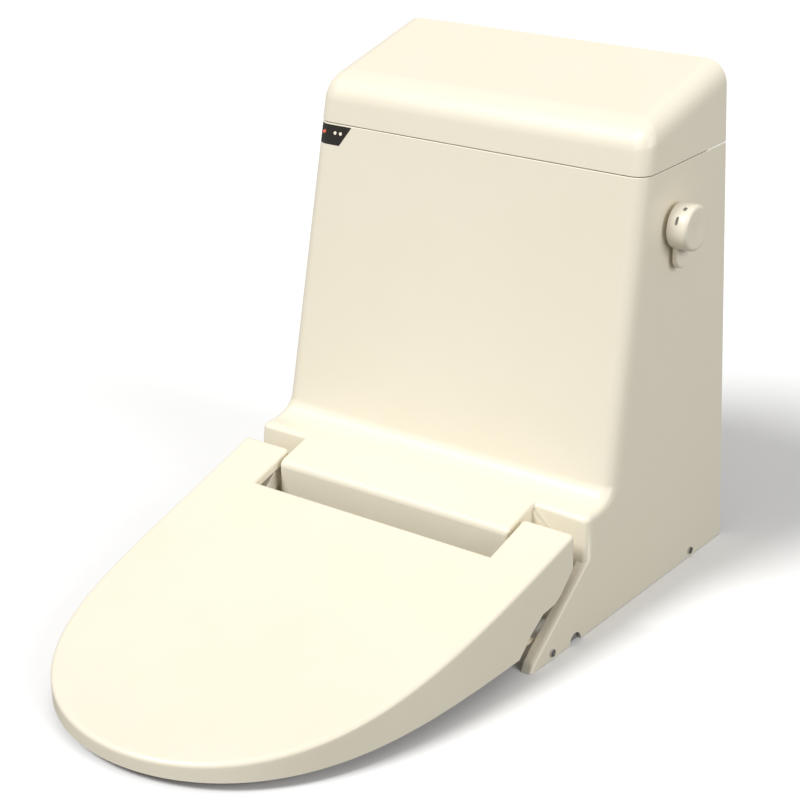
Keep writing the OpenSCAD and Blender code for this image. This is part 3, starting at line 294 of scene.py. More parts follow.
finish = {
    "shell": moulded("ivoryShell", **ivory, smooth=0.36, dull=0.46, Coat_Weight=0.12, Coat_Roughness=0.22),
    "seat_plastic": moulded("ivorySeat", (0.88, 0.82, 0.68), (0.86, 0.785, 0.63), (0.91, 0.86, 0.74), 0.30, 0.40,
                            Coat_Weight=0.15, Coat_Roughness=0.2),
    "lever_plastic": moulded("ivoryLever", (0.90, 0.845, 0.71), (0.87, 0.80, 0.65), (0.93, 0.88, 0.77), 0.28, 0.38,
                             Coat_Weight=0.2, Coat_Roughness=0.2),
    "window": moulded("smokedWindow", (0.012, 0.009, 0.005), (0.02, 0.016, 0.01), (0.05, 0.045, 0.035), 0.16, 0.26,
                      bump=0.03, Coat_Weight=0.4, Coat_Roughness=0.05),
    "rear_plastic": moulded("plainIvory", (0.74, 0.68, 0.55), (0.66, 0.60, 0.47), (0.8, 0.75, 0.63), 0.5, 0.65,
                            bump=0.3),
    "chassis_plastic": moulded("glassFilledGrey", (0.30, 0.30, 0.29), (0.22, 0.22, 0.21), (0.42, 0.42, 0.41), 0.5, 0.7,
                               bump=0.5, tone=14.0, grain=1600.0),
    "tank_plastic": moulded("tankPolymer", (0.62, 0.68, 0.72), (0.5, 0.56, 0.6), (0.74, 0.79, 0.82), 0.42, 0.6,
                            bump=0.25),
    "valve_plastic": moulded("whiteAcetal", (0.74, 0.74, 0.71), (0.62, 0.61, 0.56), (0.84, 0.84, 0.82), 0.3, 0.45),
    "dark_plastic": moulded("blackMoulding", (0.022, 0.022, 0.024), (0.04, 0.038, 0.036), (0.10, 0.10, 0.10), 0.4, 0.6,
                            bump=0.3),
    "float_foam": moulded("floatFoam", (0.72, 0.25, 0.045), (0.55, 0.17, 0.03), (0.8, 0.35, 0.1), 0.75, 0.95,
                          bump=0.9, depth=0.0006, grain=420.0),
    "nozzle_plastic": moulded("nozzleWhite", (0.82, 0.82, 0.79), (0.74, 0.73, 0.68), (0.88, 0.88, 0.86), 0.15, 0.28,
                              Coat_Weight=0.3, Coat_Roughness=0.1),
    "gear_plastic": moulded("naturalAcetal", (0.78, 0.71, 0.47), (0.68, 0.6, 0.36), (0.85, 0.79, 0.58), 0.35, 0.5),
    "rubber": moulded("blackRubber", (0.018, 0.018, 0.018), (0.035, 0.034, 0.032), (0.06, 0.06, 0.058), 0.6, 0.8,
                      bump=0.5, grain=1400.0),
    "pad_rubber": moulded("padRubber", (0.20, 0.19, 0.165), (0.15, 0.145, 0.12), (0.28, 0.27, 0.24), 0.6, 0.78,
                          bump=0.5),
    "hose_blue": moulded("blueHose", (0.05, 0.11, 0.27), (0.035, 0.08, 0.2), (0.1, 0.18, 0.36), 0.45, 0.6, bump=0.5),
    "hose_red": moulded("redHose", (0.30, 0.06, 0.035), (0.22, 0.04, 0.025), (0.4, 0.12, 0.08), 0.4, 0.55, bump=0.4),
    "steel": metal("stainlessSteel", (0.74, 0.74, 0.74), (0.55, 0.54, 0.52), 0.16, 0.36),
    "brass": metal("machinedBrass", (0.72, 0.52, 0.22), (0.45, 0.30, 0.11), 0.2, 0.42, streak=(900.0, 900.0, 25.0)),
    "copper": metal("copperSheath", (0.70, 0.34, 0.18), (0.42, 0.2, 0.11), 0.25, 0.5),
    "foil": metal("heaterFoil", (0.76, 0.76, 0.78), (0.6, 0.6, 0.62), 0.2, 0.5, streak=(160.0, 160.0, 160.0), bump=0.5),
}


def buildLamp():  # tinted lens, red on the left and white on the right
    mat, tree, shader = newMaterial("lampLens")
    coords = addNode(tree, "ShaderNodeTexCoord").outputs["Object"]
    x = addNode(tree, "ShaderNodeSeparateXYZ", {0: coords}).outputs["X"]
    low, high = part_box("indicator_lamps")
    split = low[0] + (high[0] - low[0]) * 0.4
    side = mapRange(tree, x, split - 0.001, split + 0.001, 0.0, 1.0)
    grain = addNode(tree, "ShaderNodeTexNoise", {"Vector": coords, "Scale": 1500.0}).outputs[0]
    color = mixColor(tree, side, (0.75, 0.16, 0.09, 1), (0.85, 0.8, 0.68, 1))
    tree.links.new(mixColor(tree, mapRange(tree, grain, 0.4, 0.7, 0.0, 0.3), color, (0.5, 0.3, 0.2, 1)),
                   shader.inputs["Base Color"])
    tree.links.new(mapRange(tree, grain, 0.3, 0.7, 0.1, 0.25), shader.inputs["Roughness"])
    tree.links.new(color, shader.inputs["Emission Color"])
    shader.inputs["Emission Strength"].default_value = 0.35
    return mat


def buildBoard():  # solder mask over copper tracks
    mat, tree, shader = newMaterial("circuitBoard")
    coords = addNode(tree, "ShaderNodeTexCoord").outputs["Object"]
    flat = addNode(tree, "ShaderNodeVectorMath", {0: coords, 1: (1.0, 0.0, 1.0)}, operation="MULTIPLY").outputs[0]
    tracks = addNode(tree, "ShaderNodeTexVoronoi", {"Vector": flat, "Scale": 180.0},
                     distance="MANHATTAN", feature="F1").outputs["Distance"]
    line = mapRange(tree, mathNode(tree, "PINGPONG", tracks, 0.2), 0.06, 0.1, 0.0, 1.0)
    tree.links.new(mixColor(tree, line, (0.05, 0.24, 0.09, 1), (0.015, 0.12, 0.045, 1)), shader.inputs["Base Color"])
    tree.links.new(mapRange(tree, line, 0.0, 1.0, 0.3, 0.45), shader.inputs["Roughness"])
    relief = addNode(tree, "ShaderNodeBump", {"Strength": 0.3, "Distance": 0.0001, "Height": line})
    tree.links.new(relief.outputs[0], shader.inputs["Normal"])
    return mat


finish["lamp"] = buildLamp()
finish["board"] = buildBoard()

slotOfNode = {subpart["node"]: subpart["material_slot"] for subpart in frame["record"]["subparts"]}
for name, ob in frame["nodes"].items():
    mat = finish.get(slotOfNode.get(name), finish["valve_plastic"])
    for holder in ob.material_slots:
        holder.material = mat
    if not ob.material_slots:
        ob.data.materials.append(mat)
print("finishes ready:", len(finish))


# Mesh helpers

def newObject(name, mesh, slotName):
    ob = bpy.data.objects.new(name, mesh)
    scene.collection.objects.link(ob)
    mesh.materials.clear()
    mesh.materials.append(finish[slotName])
    return ob


def fromBmesh(name, bm, slotName):
    mesh = bpy.data.meshes.new(name)
    bm.to_mesh(mesh)
    bm.free()
    return newObject(name, mesh, slotName)


def settle(ob):  # the modifiers' result becomes the object's own mesh
    depsgraph = bpy.context.evaluated_depsgraph_get()
    mesh = bpy.data.meshes.new_from_object(ob.evaluated_get(depsgraph))
    ob.modifiers.clear()
    ob.data = mesh
    return ob


def smoothOff(ob, angle=32, weighted=True):
    mesh = ob.data
    mesh.shade_smooth()
    mesh.set_sharp_from_angle(angle=radians(angle))
    if weighted:
        mod = ob.modifiers.new("weights", "WEIGHTED_NORMAL")
        mod.keep_sharp = True
        mod.weight = 60
        settle(ob)
    return ob


def joined(name, obs, slotName):
    bm = bmesh.new()
    for ob in obs:
        bm.from_mesh(ob.data)
        bpy.data.objects.remove(ob)
    return fromBmesh(name, bm, slotName)


def cut(ob, cutters, operation="DIFFERENCE"):
    for cutter in cutters:
        mod = ob.modifiers.new("cut", "BOOLEAN")
        mod.operation = operation
        mod.solver = "MANIFOLD"
        mod.object = cutter
    settle(ob)
    for cutter in cutters:
        bpy.data.objects.remove(cutter)
    return ob


def extruded(name, outline, place, x0, x1, slotName="shell"):  # closed prism between two stations
    bm = bmesh.new()
    a = [bm.verts.new(place(x0, p)) for p in outline]
    b = [bm.verts.new(place(x1, p)) for p in outline]
    bm.faces.new(a)
    bm.faces.new(b)
    n = len(outline)
    for i in range(n):
        j = (i + 1) % n
        bm.faces.new((a[i], a[j], b[j], b[i]))
    bmesh.ops.recalc_face_normals(bm, faces=bm.faces)
    return fromBmesh(name, bm, slotName)


def rod(name, a, b, radius, sides=32):
    bm = bmesh.new()
    axis = b - a
    m = axis.to_track_quat("Z", "Y").to_matrix().to_4x4()
    m.translation = (a + b) / 2
    bmesh.ops.create_cone(bm, cap_ends=True, segments=sides, radius1=radius, radius2=radius,
                          depth=axis.length, matrix=m)
    return fromBmesh(name, bm, "shell")


def roundedSkin(name, points, faces, rounds, segments=6):  # open skin, each named edge rounded by its own radius
    bm = bmesh.new()
    verts = {key: bm.verts.new(p) for key, p in points.items()}
    for face in faces:
        bm.faces.new([verts[k] for k in face])
    bmesh.ops.recalc_face_normals(bm, faces=bm.faces)
    widest = max(rounds.values())
    layer = bm.edges.layers.float.new("bevel_weight_edge")
    for (a, b), radius in rounds.items():
        edge = bm.edges.get((verts[a], verts[b]))
        if edge is None:
            raise ValueError(f"no edge {a} {b}")
        edge[layer] = radius / widest
    ob = fromBmesh(name, bm, "shell")
    mod = ob.modifiers.new("rounding", "BEVEL")
    mod.offset_type = "OFFSET"
    mod.width = widest * mm
    mod.segments = segments
    mod.limit_method = "WEIGHT"
    mod.use_clamp_overlap = True
    mod.miter_outer = "MITER_ARC"
    return settle(ob)


def softEdges(ob, width, segments, sharper=50):
    mod = ob.modifiers.new("edges", "BEVEL")
    mod.width = width * mm
    mod.segments = segments
    mod.limit_method = "ANGLE"
    mod.angle_limit = radians(sharper)
    return settle(ob)


def thicken(ob, wall):
    mod = ob.modifiers.new("wall", "SOLIDIFY")
    mod.thickness = wall * mm
    mod.offset = -1
    mod.use_even_offset = True
    mod.use_rim = True
    return settle(ob)


def pointOutwards(ob, centre):  # flips an open skin if it faces inwards
    mesh = ob.data
    total = sum((Vector(p.center) - centre).dot(p.normal) * p.area for p in mesh.polygons)
    if total < 0:
        mesh.flip_normals()
    return ob


# Casing

casing = {"footHalf": 204.5, "seamHalf": 195.0, "seamZ": 420.0, "seamDepth": 150.0, "faceDepth": 212.0,
          "faceZ": 136.0,
          "deckZ": 119.0, "shoulderDepth": 251.0, "kinkDepth": 256.0, "kinkZ": 72.5, "toeDepth": 352.0,
          "toeLean": 5, "toeZ": 8, "skirt": 12.5, "wall": 3.0, "noseHalf": 140.5, "noseDepth": 296.0, "noseZ": 107.0,
          "edgeRound": 16.0, "deckFillet": 17.0, "deckSide": 7.0, "shoulderRound": 8.0, "shoulderCorner": 9.0,
          "seamChamfer": 0.7, "gripDepth": 277.0, "gripRadius": 9.5, "leverDepth": 98.0, "leverZ": 364.0,
          "leverHole": 10.4, "pinDepth": 285, "pinZ": 92, "pinHole": 4.6, "pinReach": 146, "screwDepths": (63, 317),
          "screwZ": 7, "screwHole": 2.1, "door": ((-22, -2), (22, -2), (22, 36), (19, 38.5), (-19, 38.5), (-22, 36)),
          "lampHole": 1.7, "glass": 1.6, "glassSink": 0.1}
sideSlope = (casing["footHalf"] - casing["seamHalf"]) / casing["seamZ"]
faceSlope = (casing["faceDepth"] - casing["seamDepth"]) / (casing["seamZ"] - casing["faceZ"])


def halfAt(z):
    return casing["footHalf"] - sideSlope * z


def depthAt(z):
    return casing["faceDepth"] - (z - casing["faceZ"]) * faceSlope


def casingSkin():
    c = casing
    deck, bevel = c["deckZ"], c["seamChamfer"]
    toe, toeTop = c["toeDepth"], c["toeDepth"] - c["toeLean"]
    side = {  # depth, height and distance inside the tapered side
        "a0": (0, 0, 0), "a1": (0, c["seamZ"] - bevel, 0), "a1t": (0, c["seamZ"], bevel),
        "a2t": (c["seamDepth"] - bevel, c["seamZ"], bevel),
        "a2": (depthAt(c["seamZ"] - bevel), c["seamZ"] - bevel, 0),
        "a3": (depthAt(deck), deck, 0), "a4": (c["shoulderDepth"], deck, 0),
        "a5": (c["kinkDepth"], c["kinkZ"], 0), "a6": (toeTop, c["toeZ"], 0), "a7": (toe, 0, 0),
        "b5": (c["kinkDepth"], c["kinkZ"], c["skirt"]), "b6": (toeTop, c["toeZ"], c["skirt"]),
        "b7": (toe, 0, c["skirt"]), "b8": (c["kinkDepth"], 0, c["skirt"])}
    points = {}
    for key, (depth, z, inside) in side.items():
        for tag, s in (("R", 1), ("L", -1)):
            points[key + tag] = at(s * (halfAt(z) - inside), depth, z)
    nose = {"c4": (c["shoulderDepth"], deck), "d": (c["noseDepth"], c["noseZ"]), "e": (c["noseDepth"], 38),
            "f": (c["noseDepth"] - 8, 0), "g": (c["kinkDepth"], 0), "n5": (c["kinkDepth"], c["kinkZ"])}
    for key, (depth, z) in nose.items():
        for tag, s in (("R", 1), ("L", -1)):
            points[key + tag] = at(s * c["noseHalf"], depth, z)
    faces = [
        ["a2L", "a2R", "a3R", "a3L"], ["a2tL", "a2tR", "a2R", "a2L"],
        ["a3L", "a3R", "a4R", "c4R", "c4L", "a4L"],
        ["c4L", "c4R", "dR", "dL"], ["dL", "dR", "eR", "eL"], ["eL", "eR", "fR", "fL"]]
    for t in ("R", "L"):
        faces += [[k + t for k in names] for names in (
            ("a0", "a1", "a2", "a3", "a4", "a5", "a6", "a7"), ("a1", "a1t", "a2t", "a2"),
            ("a4", "a5", "b5", "n5", "c4"), ("a5", "a6", "b6", "b5"), ("a6", "a7", "b7", "b6"),
            ("b5", "b6", "b7", "b8"), ("c4", "d", "e", "f", "g", "n5"), ("b5", "n5", "g", "b8"))]
    rounds = {("a3L", "a3R"): c["deckFillet"], ("c4L", "c4R"): 9.0, ("dL", "dR"): 7.0, ("eL", "eR"): 4.0}
    for t in ("R", "L"):
        for (p, q), radius in {
                ("a2", "a3"): c["edgeRound"], ("a2t", "a2"): c["edgeRound"], ("a3", "a4"): c["deckSide"],
                ("a4", "c4"): c["shoulderRound"], ("a4", "a5"): c["shoulderCorner"],
                ("a5", "a6"): 3.0, ("a6", "a7"): 3.0, ("b5", "b6"): 1.5, ("b6", "b7"): 1.5, ("a6", "b6"): 3.0,
                ("c4", "d"): 3.0, ("d", "e"): 3.5, ("e", "f"): 3.5}.items():
            rounds[(p + t, q + t)] = radius
    return roundedSkin("casingSkin", points, faces, rounds)


def windowPrism(name, grow):  # outline of the window in the front view, cut through the leaning face
    top, low, right = casing["seamZ"] - 1.5, casing["seamZ"] - 21, -casing["seamHalf"] + 46
    outline = [(-260, top + grow), (-260, low - grow), (right - 14 + grow, low - grow), (right + grow, top + grow)]
    return extruded(name, outline, forward, 128, 190)


def buildCasing():
    c = casing
    skin = casingSkin()
    pointOutwards(skin, at(0, 120, 200))
    glass = newObject("windowGlass", skin.data.copy(), "window")
    thicken(skin, c["wall"])
    cutters = []
    for s in (1, -1):
        grip = [(c["gripDepth"] + c["gripRadius"] * cos(radians(a)), max(-5, c["gripRadius"] * sin(radians(a))))
                for a in range(0, 181, 15)]
        grip += [(c["gripDepth"] - c["gripRadius"], -6), (c["gripDepth"] + c["gripRadius"], -6)]
        cutters.append(extruded("grip", grip, across, s * (c["footHalf"] - 4.5), s * 215))
        for depth in c["screwDepths"]:
            cutters.append(rod("screwHole", at(s * 196, depth, c["screwZ"]), at(s * 215, depth, c["screwZ"]),
                               c["screwHole"] * mm))
    cutters.append(rod("leverHole", at(185, c["leverDepth"], c["leverZ"]), at(205, c["leverDepth"], c["leverZ"]),
                       c["leverHole"] * mm))
    cutters.append(rod("pinHole", at(-c["pinReach"], c["pinDepth"], c["pinZ"]),
                       at(c["pinReach"], c["pinDepth"], c["pinZ"]), c["pinHole"] * mm))
    cutters.append(extruded("door", c["door"], forward, 280, 300))
    cutters.append(windowPrism("windowHole", 0.25))
    cut(skin, cutters)
    skin.name = "casingShell"
    smoothOff(skin)
    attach(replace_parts(skin, "main_casing"), "housing")

    for v in glass.data.vertices:  # sits a hair under the face around it
        v.co.y += c["glassSink"] * mm
    thicken(glass, c["glass"])
    cut(glass, [windowPrism("windowEdge", 0)], "INTERSECT")
    holes = []
    low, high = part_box("indicator_lamps")
    for x in (low[0] + 0.0016, low[0] + 0.0156, high[0] - 0.0016):
        z = (low[2] + high[2]) / 2
        holes.append(rod("lampHole", Vector((x, low[1] - 0.01, z)), Vector((x, high[1] + 0.01, z)),
                         c["lampHole"] * mm, 20))
    cut(glass, holes)
    smoothOff(glass)
    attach(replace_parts(glass, "indicator_window"), "housing")


buildCasing()
print("casing built")


# Top cover

cover = {"topZ": 500.0, "fall": 14.0, "frontRound": 24.0, "sideRound": 22.0, "cornerRound": 16.0, "gap": 0.5,
         "chamfer": 0.7, "wall": 3.0, "ribs": (-120.0, 0.0, 120.0), "ribHalf": 14, "ribDown": 7, "ribUp": 14,
         "ribThick": 1.6, "ribGap": 2.5}


def buildCover():
    c = cover
    k = tan(radians(c["fall"]))
    z0 = casing["seamZ"] + c["gap"]
    cornerZ = (c["topZ"] - k * (casing["faceDepth"] + casing["faceZ"] * faceSlope)) / (1 - k * faceSlope)
    points, b = {}, c["chamfer"]
    for t, s in (("R", 1), ("L", -1)):
        points["at" + t] = at(s * (halfAt(z0) - b), 0, z0)
        points["a" + t] = at(s * halfAt(z0 + b), 0, z0 + b)
        points["bt" + t] = at(s * (halfAt(z0) - b), depthAt(z0) - b, z0)
        points["b" + t] = at(s * halfAt(z0 + b), depthAt(z0 + b), z0 + b)
        points["c" + t] = at(s * halfAt(cornerZ), depthAt(cornerZ), cornerZ)
        points["d" + t] = at(s * halfAt(c["topZ"]), 0, c["topZ"])
    faces = [["btL", "btR", "bR", "bL"], ["bL", "bR", "cR", "cL"], ["cL", "cR", "dR", "dL"],
             ["dL", "dR", "aR", "aL"], ["aL", "aR", "atR", "atL"]]
    for t in ("R", "L"):
        faces += [["a" + t, "b" + t, "c" + t, "d" + t], ["at" + t, "bt" + t, "b" + t, "a" + t]]
    rounds = {("cL", "cR"): c["frontRound"]}
    for t in ("R", "L"):
        rounds[("c" + t, "d" + t)] = c["sideRound"]
        rounds[("b" + t, "c" + t)] = c["cornerRound"]
        rounds[("bt" + t, "b" + t)] = c["cornerRound"]
    ob = roundedSkin("coverShell", points, faces, rounds, segments=9)
    pointOutwards(ob, at(0, 60, 400))
    thicken(ob, c["wall"])
    ribs = []
    front = casing["seamDepth"] - c["wall"] - c["ribGap"]
    low, high = casing["seamZ"] - c["ribDown"], casing["seamZ"] + c["ribUp"]
    for x in c["ribs"]:
        x0, x1 = x - c["ribHalf"], x + c["ribHalf"]
        outline = [(x0, low), (x1, low), (x1, high), (x0, high)]
        ribs.append(extruded("rib", outline, forward, front - c["ribThick"], front))
    ob = joined("coverShell", [ob] + ribs, "shell")
    smoothOff(ob)
    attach(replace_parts(ob, "top_cover"), "top_cover")


buildCover()
print("top cover built")


# Lid

lid = {"front": 689.0, "rear": 274.5, "half": 202.0, "taper": 13.7, "roundness": 4.45, "rearZ": 112.6,
       "frontZ": 24.0, "bow": 33.0, "notchDepth": 330.0, "notchHalf": 144.0, "edgeRound": 4.5, "wall": 3.0,
       "notchRim": 5.0,
       "edge": ((274, 82), (289, 66), (302, 53), (326, 50), (346, 36), (361, 19), (690, 8)),
       "armColumns": 5, "middleColumns": 26, "rows": 34, "armRows": 6}


def lidTop(depth):
    t = (depth - lid["rear"]) / (lid["front"] - lid["rear"])
    return lid["rearZ"] + (lid["frontZ"] - lid["rearZ"]) * t - lid["bow"] * t * (1 - t)


def lidLow(depth):
    pairs = lid["edge"]
    for (d0, z0), (d1, z1) in zip(pairs, pairs[1:]):
        if depth <= d1:
            return z0 + (z1 - z0) * max(0.0, (depth - d0) / (d1 - d0))
    return pairs[-1][1]


def lidOutline(inside, rear, steps=240):  # right half from the rear to the tip, moved inside its edge
    raw = []
    for i in range(steps + 1):
        a = radians(90) * (i / steps) ** 1.3
        t = sin(a) ** (2 / lid["roundness"]) if a else 0.0
        raw.append(Vector(((lid["half"] - lid["taper"] * t) * cos(a), lid["rear"] + t * (lid["front"] - lid["rear"]))))
    moved = []
    for i, p in enumerate(raw):
        q = raw[min(i + 1, steps)] - raw[max(i - 1, 0)]
        q.normalize()
        moved.append(p + Vector((-q.y, q.x)) * inside)
    moved[-1].x = 0.0
    line = [p for p in moved if p.y > rear]
    first = next(i for i, p in enumerate(moved) if p.y > rear)
    if first > 0:
        p, q = moved[first - 1], moved[first]
        f = (rear - p.y) / (q.y - p.y)
        line.insert(0, p.lerp(q, f))
    else:
        line.insert(0, Vector((moved[0].x, rear)))
    return line


def pickAlong(line, n):  # n + 1 points evenly spaced along a polyline
    lengths = [0.0]
    for p, q in zip(line, line[1:]):
        lengths.append(lengths[-1] + (q - p).length)
    out, k = [], 0
    for i in range(n + 1):
        target = lengths[-1] * i / n
        while k < len(line) - 2 and lengths[k + 1] < target:
            k += 1
        span = lengths[k + 1] - lengths[k]
        out.append(line[k].lerp(line[k + 1], (target - lengths[k]) / span if span else 0.0))
    return out


def lidGrid(bm):
    g = lid["edgeRound"]
    start = lid["notchDepth"] + g
    line = lidOutline(g, start)
    corner = next(i for i in range(len(line) - 1)
                  if abs(line[i + 1].x - line[i].x) > abs(line[i + 1].y - line[i].y))
    rightSide = pickAlong(line[:corner + 1], lid["rows"])
    n = 2 * lid["armColumns"] + lid["middleColumns"]
    half = pickAlong(line[corner:], n // 2)
    front = [Vector((-p.x, p.y)) for p in half] + half[::-1][1:]
    inner, outer = lid["notchHalf"] + g, line[0].x
    arm = [inner + (outer - inner) * i / lid["armColumns"] for i in range(lid["armColumns"] + 1)]
    middle = [-inner + 2 * inner * i / lid["middleColumns"] for i in range(1, lid["middleColumns"])]
    xs = [-x for x in arm[::-1]] + middle + arm
    grid = []
    for j in range(lid["rows"] + 1):
        v = j / lid["rows"]
        row = []
        for i, x in enumerate(xs):
            u = (x + outer) / (2 * outer)
            left = Vector((-rightSide[j].x, rightSide[j].y))
            a, b = Vector((x, start)), front[i]
            p = (a * (1 - v) + b * v) + (left * (1 - u) + rightSide[j] * u)
            p -= (Vector((-outer, start)) * (1 - u) * (1 - v) + Vector((outer, start)) * u * (1 - v)
                  + front[0] * (1 - u) * v + front[-1] * u * v)
            row.append(bm.verts.new(at(p.x, p.y, lidTop(p.y))))
        grid.append(row)
    for j in range(lid["rows"]):
        for i in range(n):
            bm.faces.new((grid[j][i], grid[j][i + 1], grid[j + 1][i + 1], grid[j + 1][i]))
    rearLine = lidOutline(g, lid["rear"] + g)
    for s in (1, -1):  # the two arms, back from the notch
        shared = range(n - lid["armColumns"], n + 1) if s > 0 else range(lid["armColumns"], -1, -1)
        last = [grid[0][i] for i in shared]
        for j in range(1, lid["armRows"] + 1):
            d = start + (lid["rear"] + g - start) * j / lid["armRows"]
            edge = next((p.x for p in rearLine if p.y >= d), outer)
            row = []
            for i in range(lid["armColumns"] + 1):
                x = inner + (edge - inner) * i / lid["armColumns"]
                row.append(bm.verts.new(at(s * x, d, lidTop(d))))
            for i in range(lid["armColumns"]):
                bm.faces.new((last[i], last[i + 1], row[i + 1], row[i]))
            last = row


def rimLoop(bm):  # the one open edge, in order
    edges = [e for e in bm.edges if e.is_boundary]
    follow = {}
    for e in edges:
        for v in e.verts:
            follow.setdefault(v, []).append(e.other_vert(v))
    first = edges[0].verts[0]
    loop, prev, here = [first], None, first
    while True:
        nxt = [v for v in follow[here] if v is not prev][0]
        if nxt is first:
            return loop
        loop.append(nxt)
        prev, here = here, nxt


def skirtRings(bm, loop, radius, topOf, lowOf, arcSteps=6, skirtSteps=4, fan=5):
    flat = [Vector((v.co.x / mm, (backY - v.co.y) / mm)) for v in loop]
    area = sum(p.x * q.y - q.x * p.y for p, q in zip(flat, flat[1:] + flat[:1]))
    if area < 0:
        loop, flat = loop[::-1], flat[::-1]
    n = len(flat)
    stations = []  # index in the loop, outward direction
    for i in range(n):
        a, b, c = flat[i - 1], flat[i], flat[(i + 1) % n]
        e, f = (b - a).normalized(), (c - b).normalized()
        m, k = Vector((e.y, -e.x)), Vector((f.y, -f.x))
        turn = atan2(e.x * f.y - e.y * f.x, e.dot(f))
        if turn > radians(35):
            for s in range(fan + 1):
                w = turn * s / fan
                stations.append((i, Vector((m.x * cos(w) - m.y * sin(w), m.x * sin(w) + m.y * cos(w)))))
        else:
            stations.append((i, (m + k) / (1 + m.dot(k))))
    rings = [[loop[i] for i, _ in stations]]
    for s in range(1, arcSteps + 1):
        w = pi / 2 * s / arcSteps
        ring = []
        for i, out in stations:
            p = flat[i] + out * radius * sin(w)
            ring.append(bm.verts.new(at(p.x, p.y, topOf(p.y) - radius * (1 - cos(w)))))
        rings.append(ring)
    for s in range(1, skirtSteps + 1):
        ring = []
        for i, out in stations:
            p = flat[i] + out * radius
            top = topOf(p.y) - radius
            low = min(lowOf(p), top - 2)
            ring.append(bm.verts.new(at(p.x, p.y, top + (low - top) * s / skirtSteps)))
        rings.append(ring)
    m = len(stations)
    for upper, lower in zip(rings, rings[1:]):
        for i in range(m):
            j = (i + 1) % m
            corners = [upper[i], upper[j], lower[j], lower[i]]
            unique = [v for k, v in enumerate(corners) if v is not corners[k - 1]]
            if len(unique) > 2:
                bm.faces.new(unique)


def lidSkirtLow(p):
    if abs(p.x) < lid["notchHalf"] + 4 and p.y < lid["notchDepth"] + 4:
        return lidTop(p.y) - lid["edgeRound"] - lid["notchRim"]
    return lidLow(p.y)


def earPlate(x0, x1, outline):
    return softEdges(extruded("ear", outline, across, x0, x1), 1.2, 3)


def ring(cx, cz, r, a0, a1, n=14):  # points along an arc, angles in degrees
    return [(cx + r * cos(radians(a0 + (a1 - a0) * i / n)), cz + r * sin(radians(a0 + (a1 - a0) * i / n)))
            for i in range(n + 1)]


hinge = {"depth": 285.0, "z": 92.0, "ear": 7.0, "seatEar": 148.0, "seatEarWidth": 11.0, "lidEar": 163.0,
         "lidEarWidth": 10.0, "earSink": 1.5}


def buildLid():
    bm = bmesh.new()
    lidGrid(bm)
    skirtRings(bm, rimLoop(bm), lid["edgeRound"], lidTop, lidSkirtLow)
    bmesh.ops.recalc_face_normals(bm, faces=bm.faces)
    ob = fromBmesh("lidShell", bm, "shell")
    pointOutwards(ob, at(0, 480, -60))
    thicken(ob, lid["wall"])
    h = hinge
    ears = []
    for s in (1, -1):
        outline = ring(h["depth"], h["z"], h["ear"], 180, 360)
        outline += [(h["depth"] + h["ear"] + 8, lidTop(h["depth"] + 15) - h["earSink"]),
                    (h["depth"] - h["ear"], lidTop(h["depth"] - 7) - h["earSink"])]
        ears.append(earPlate(s * h["lidEar"], s * (h["lidEar"] + h["lidEarWidth"]), outline))
    ob = joined("lidShell", [ob] + ears, "shell")
    smoothOff(ob, 40)
    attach(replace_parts(ob, "lid"), "lid")


buildLid()
print("lid built")


# Seat

seat = {"rear": 324.0, "front": 676.5, "inset": 12.5, "rearTop": 56.0, "frontTop": 18.0, "rearLow": 18.0,
        "frontLow": 4.0, "holeHalf": 106.0, "holeLength": 137.5, "holeDepth": 502.25, "plate": 2.5,
        "outerRound": 6.0, "innerRound": 9.0,
        "dish": 3.0, "corner": 16.0, "stations": 144}


def seatSlope(rear, front, d):
    return rear + (front - rear) * (d - seat["rear"]) / (seat["front"] - seat["rear"])


def seatTop(d):
    return seatSlope(seat["rearTop"], seat["frontTop"], d)


def seatLow(d):
    return seatSlope(seat["rearLow"], seat["frontLow"], d)


def seatOutline():
    right = lidOutline(seat["inset"], seat["rear"])
    line = []
    c = seat["corner"]
    corner = Vector((right[0].x - c, right[0].y + c))
    for i in range(9):
        a = radians(90 - 90 * i / 8)
        line.append(corner + Vector((c * cos(a), -c * sin(a))))
    line += [p for p in right if p.y > seat["rear"] + c]
    line = [p for p in line if p.x > 0.01]
    full = line + [Vector((0, right[-1].y))] + [Vector((-p.x, p.y)) for p in line[::-1]]
    return full + [full[0]]


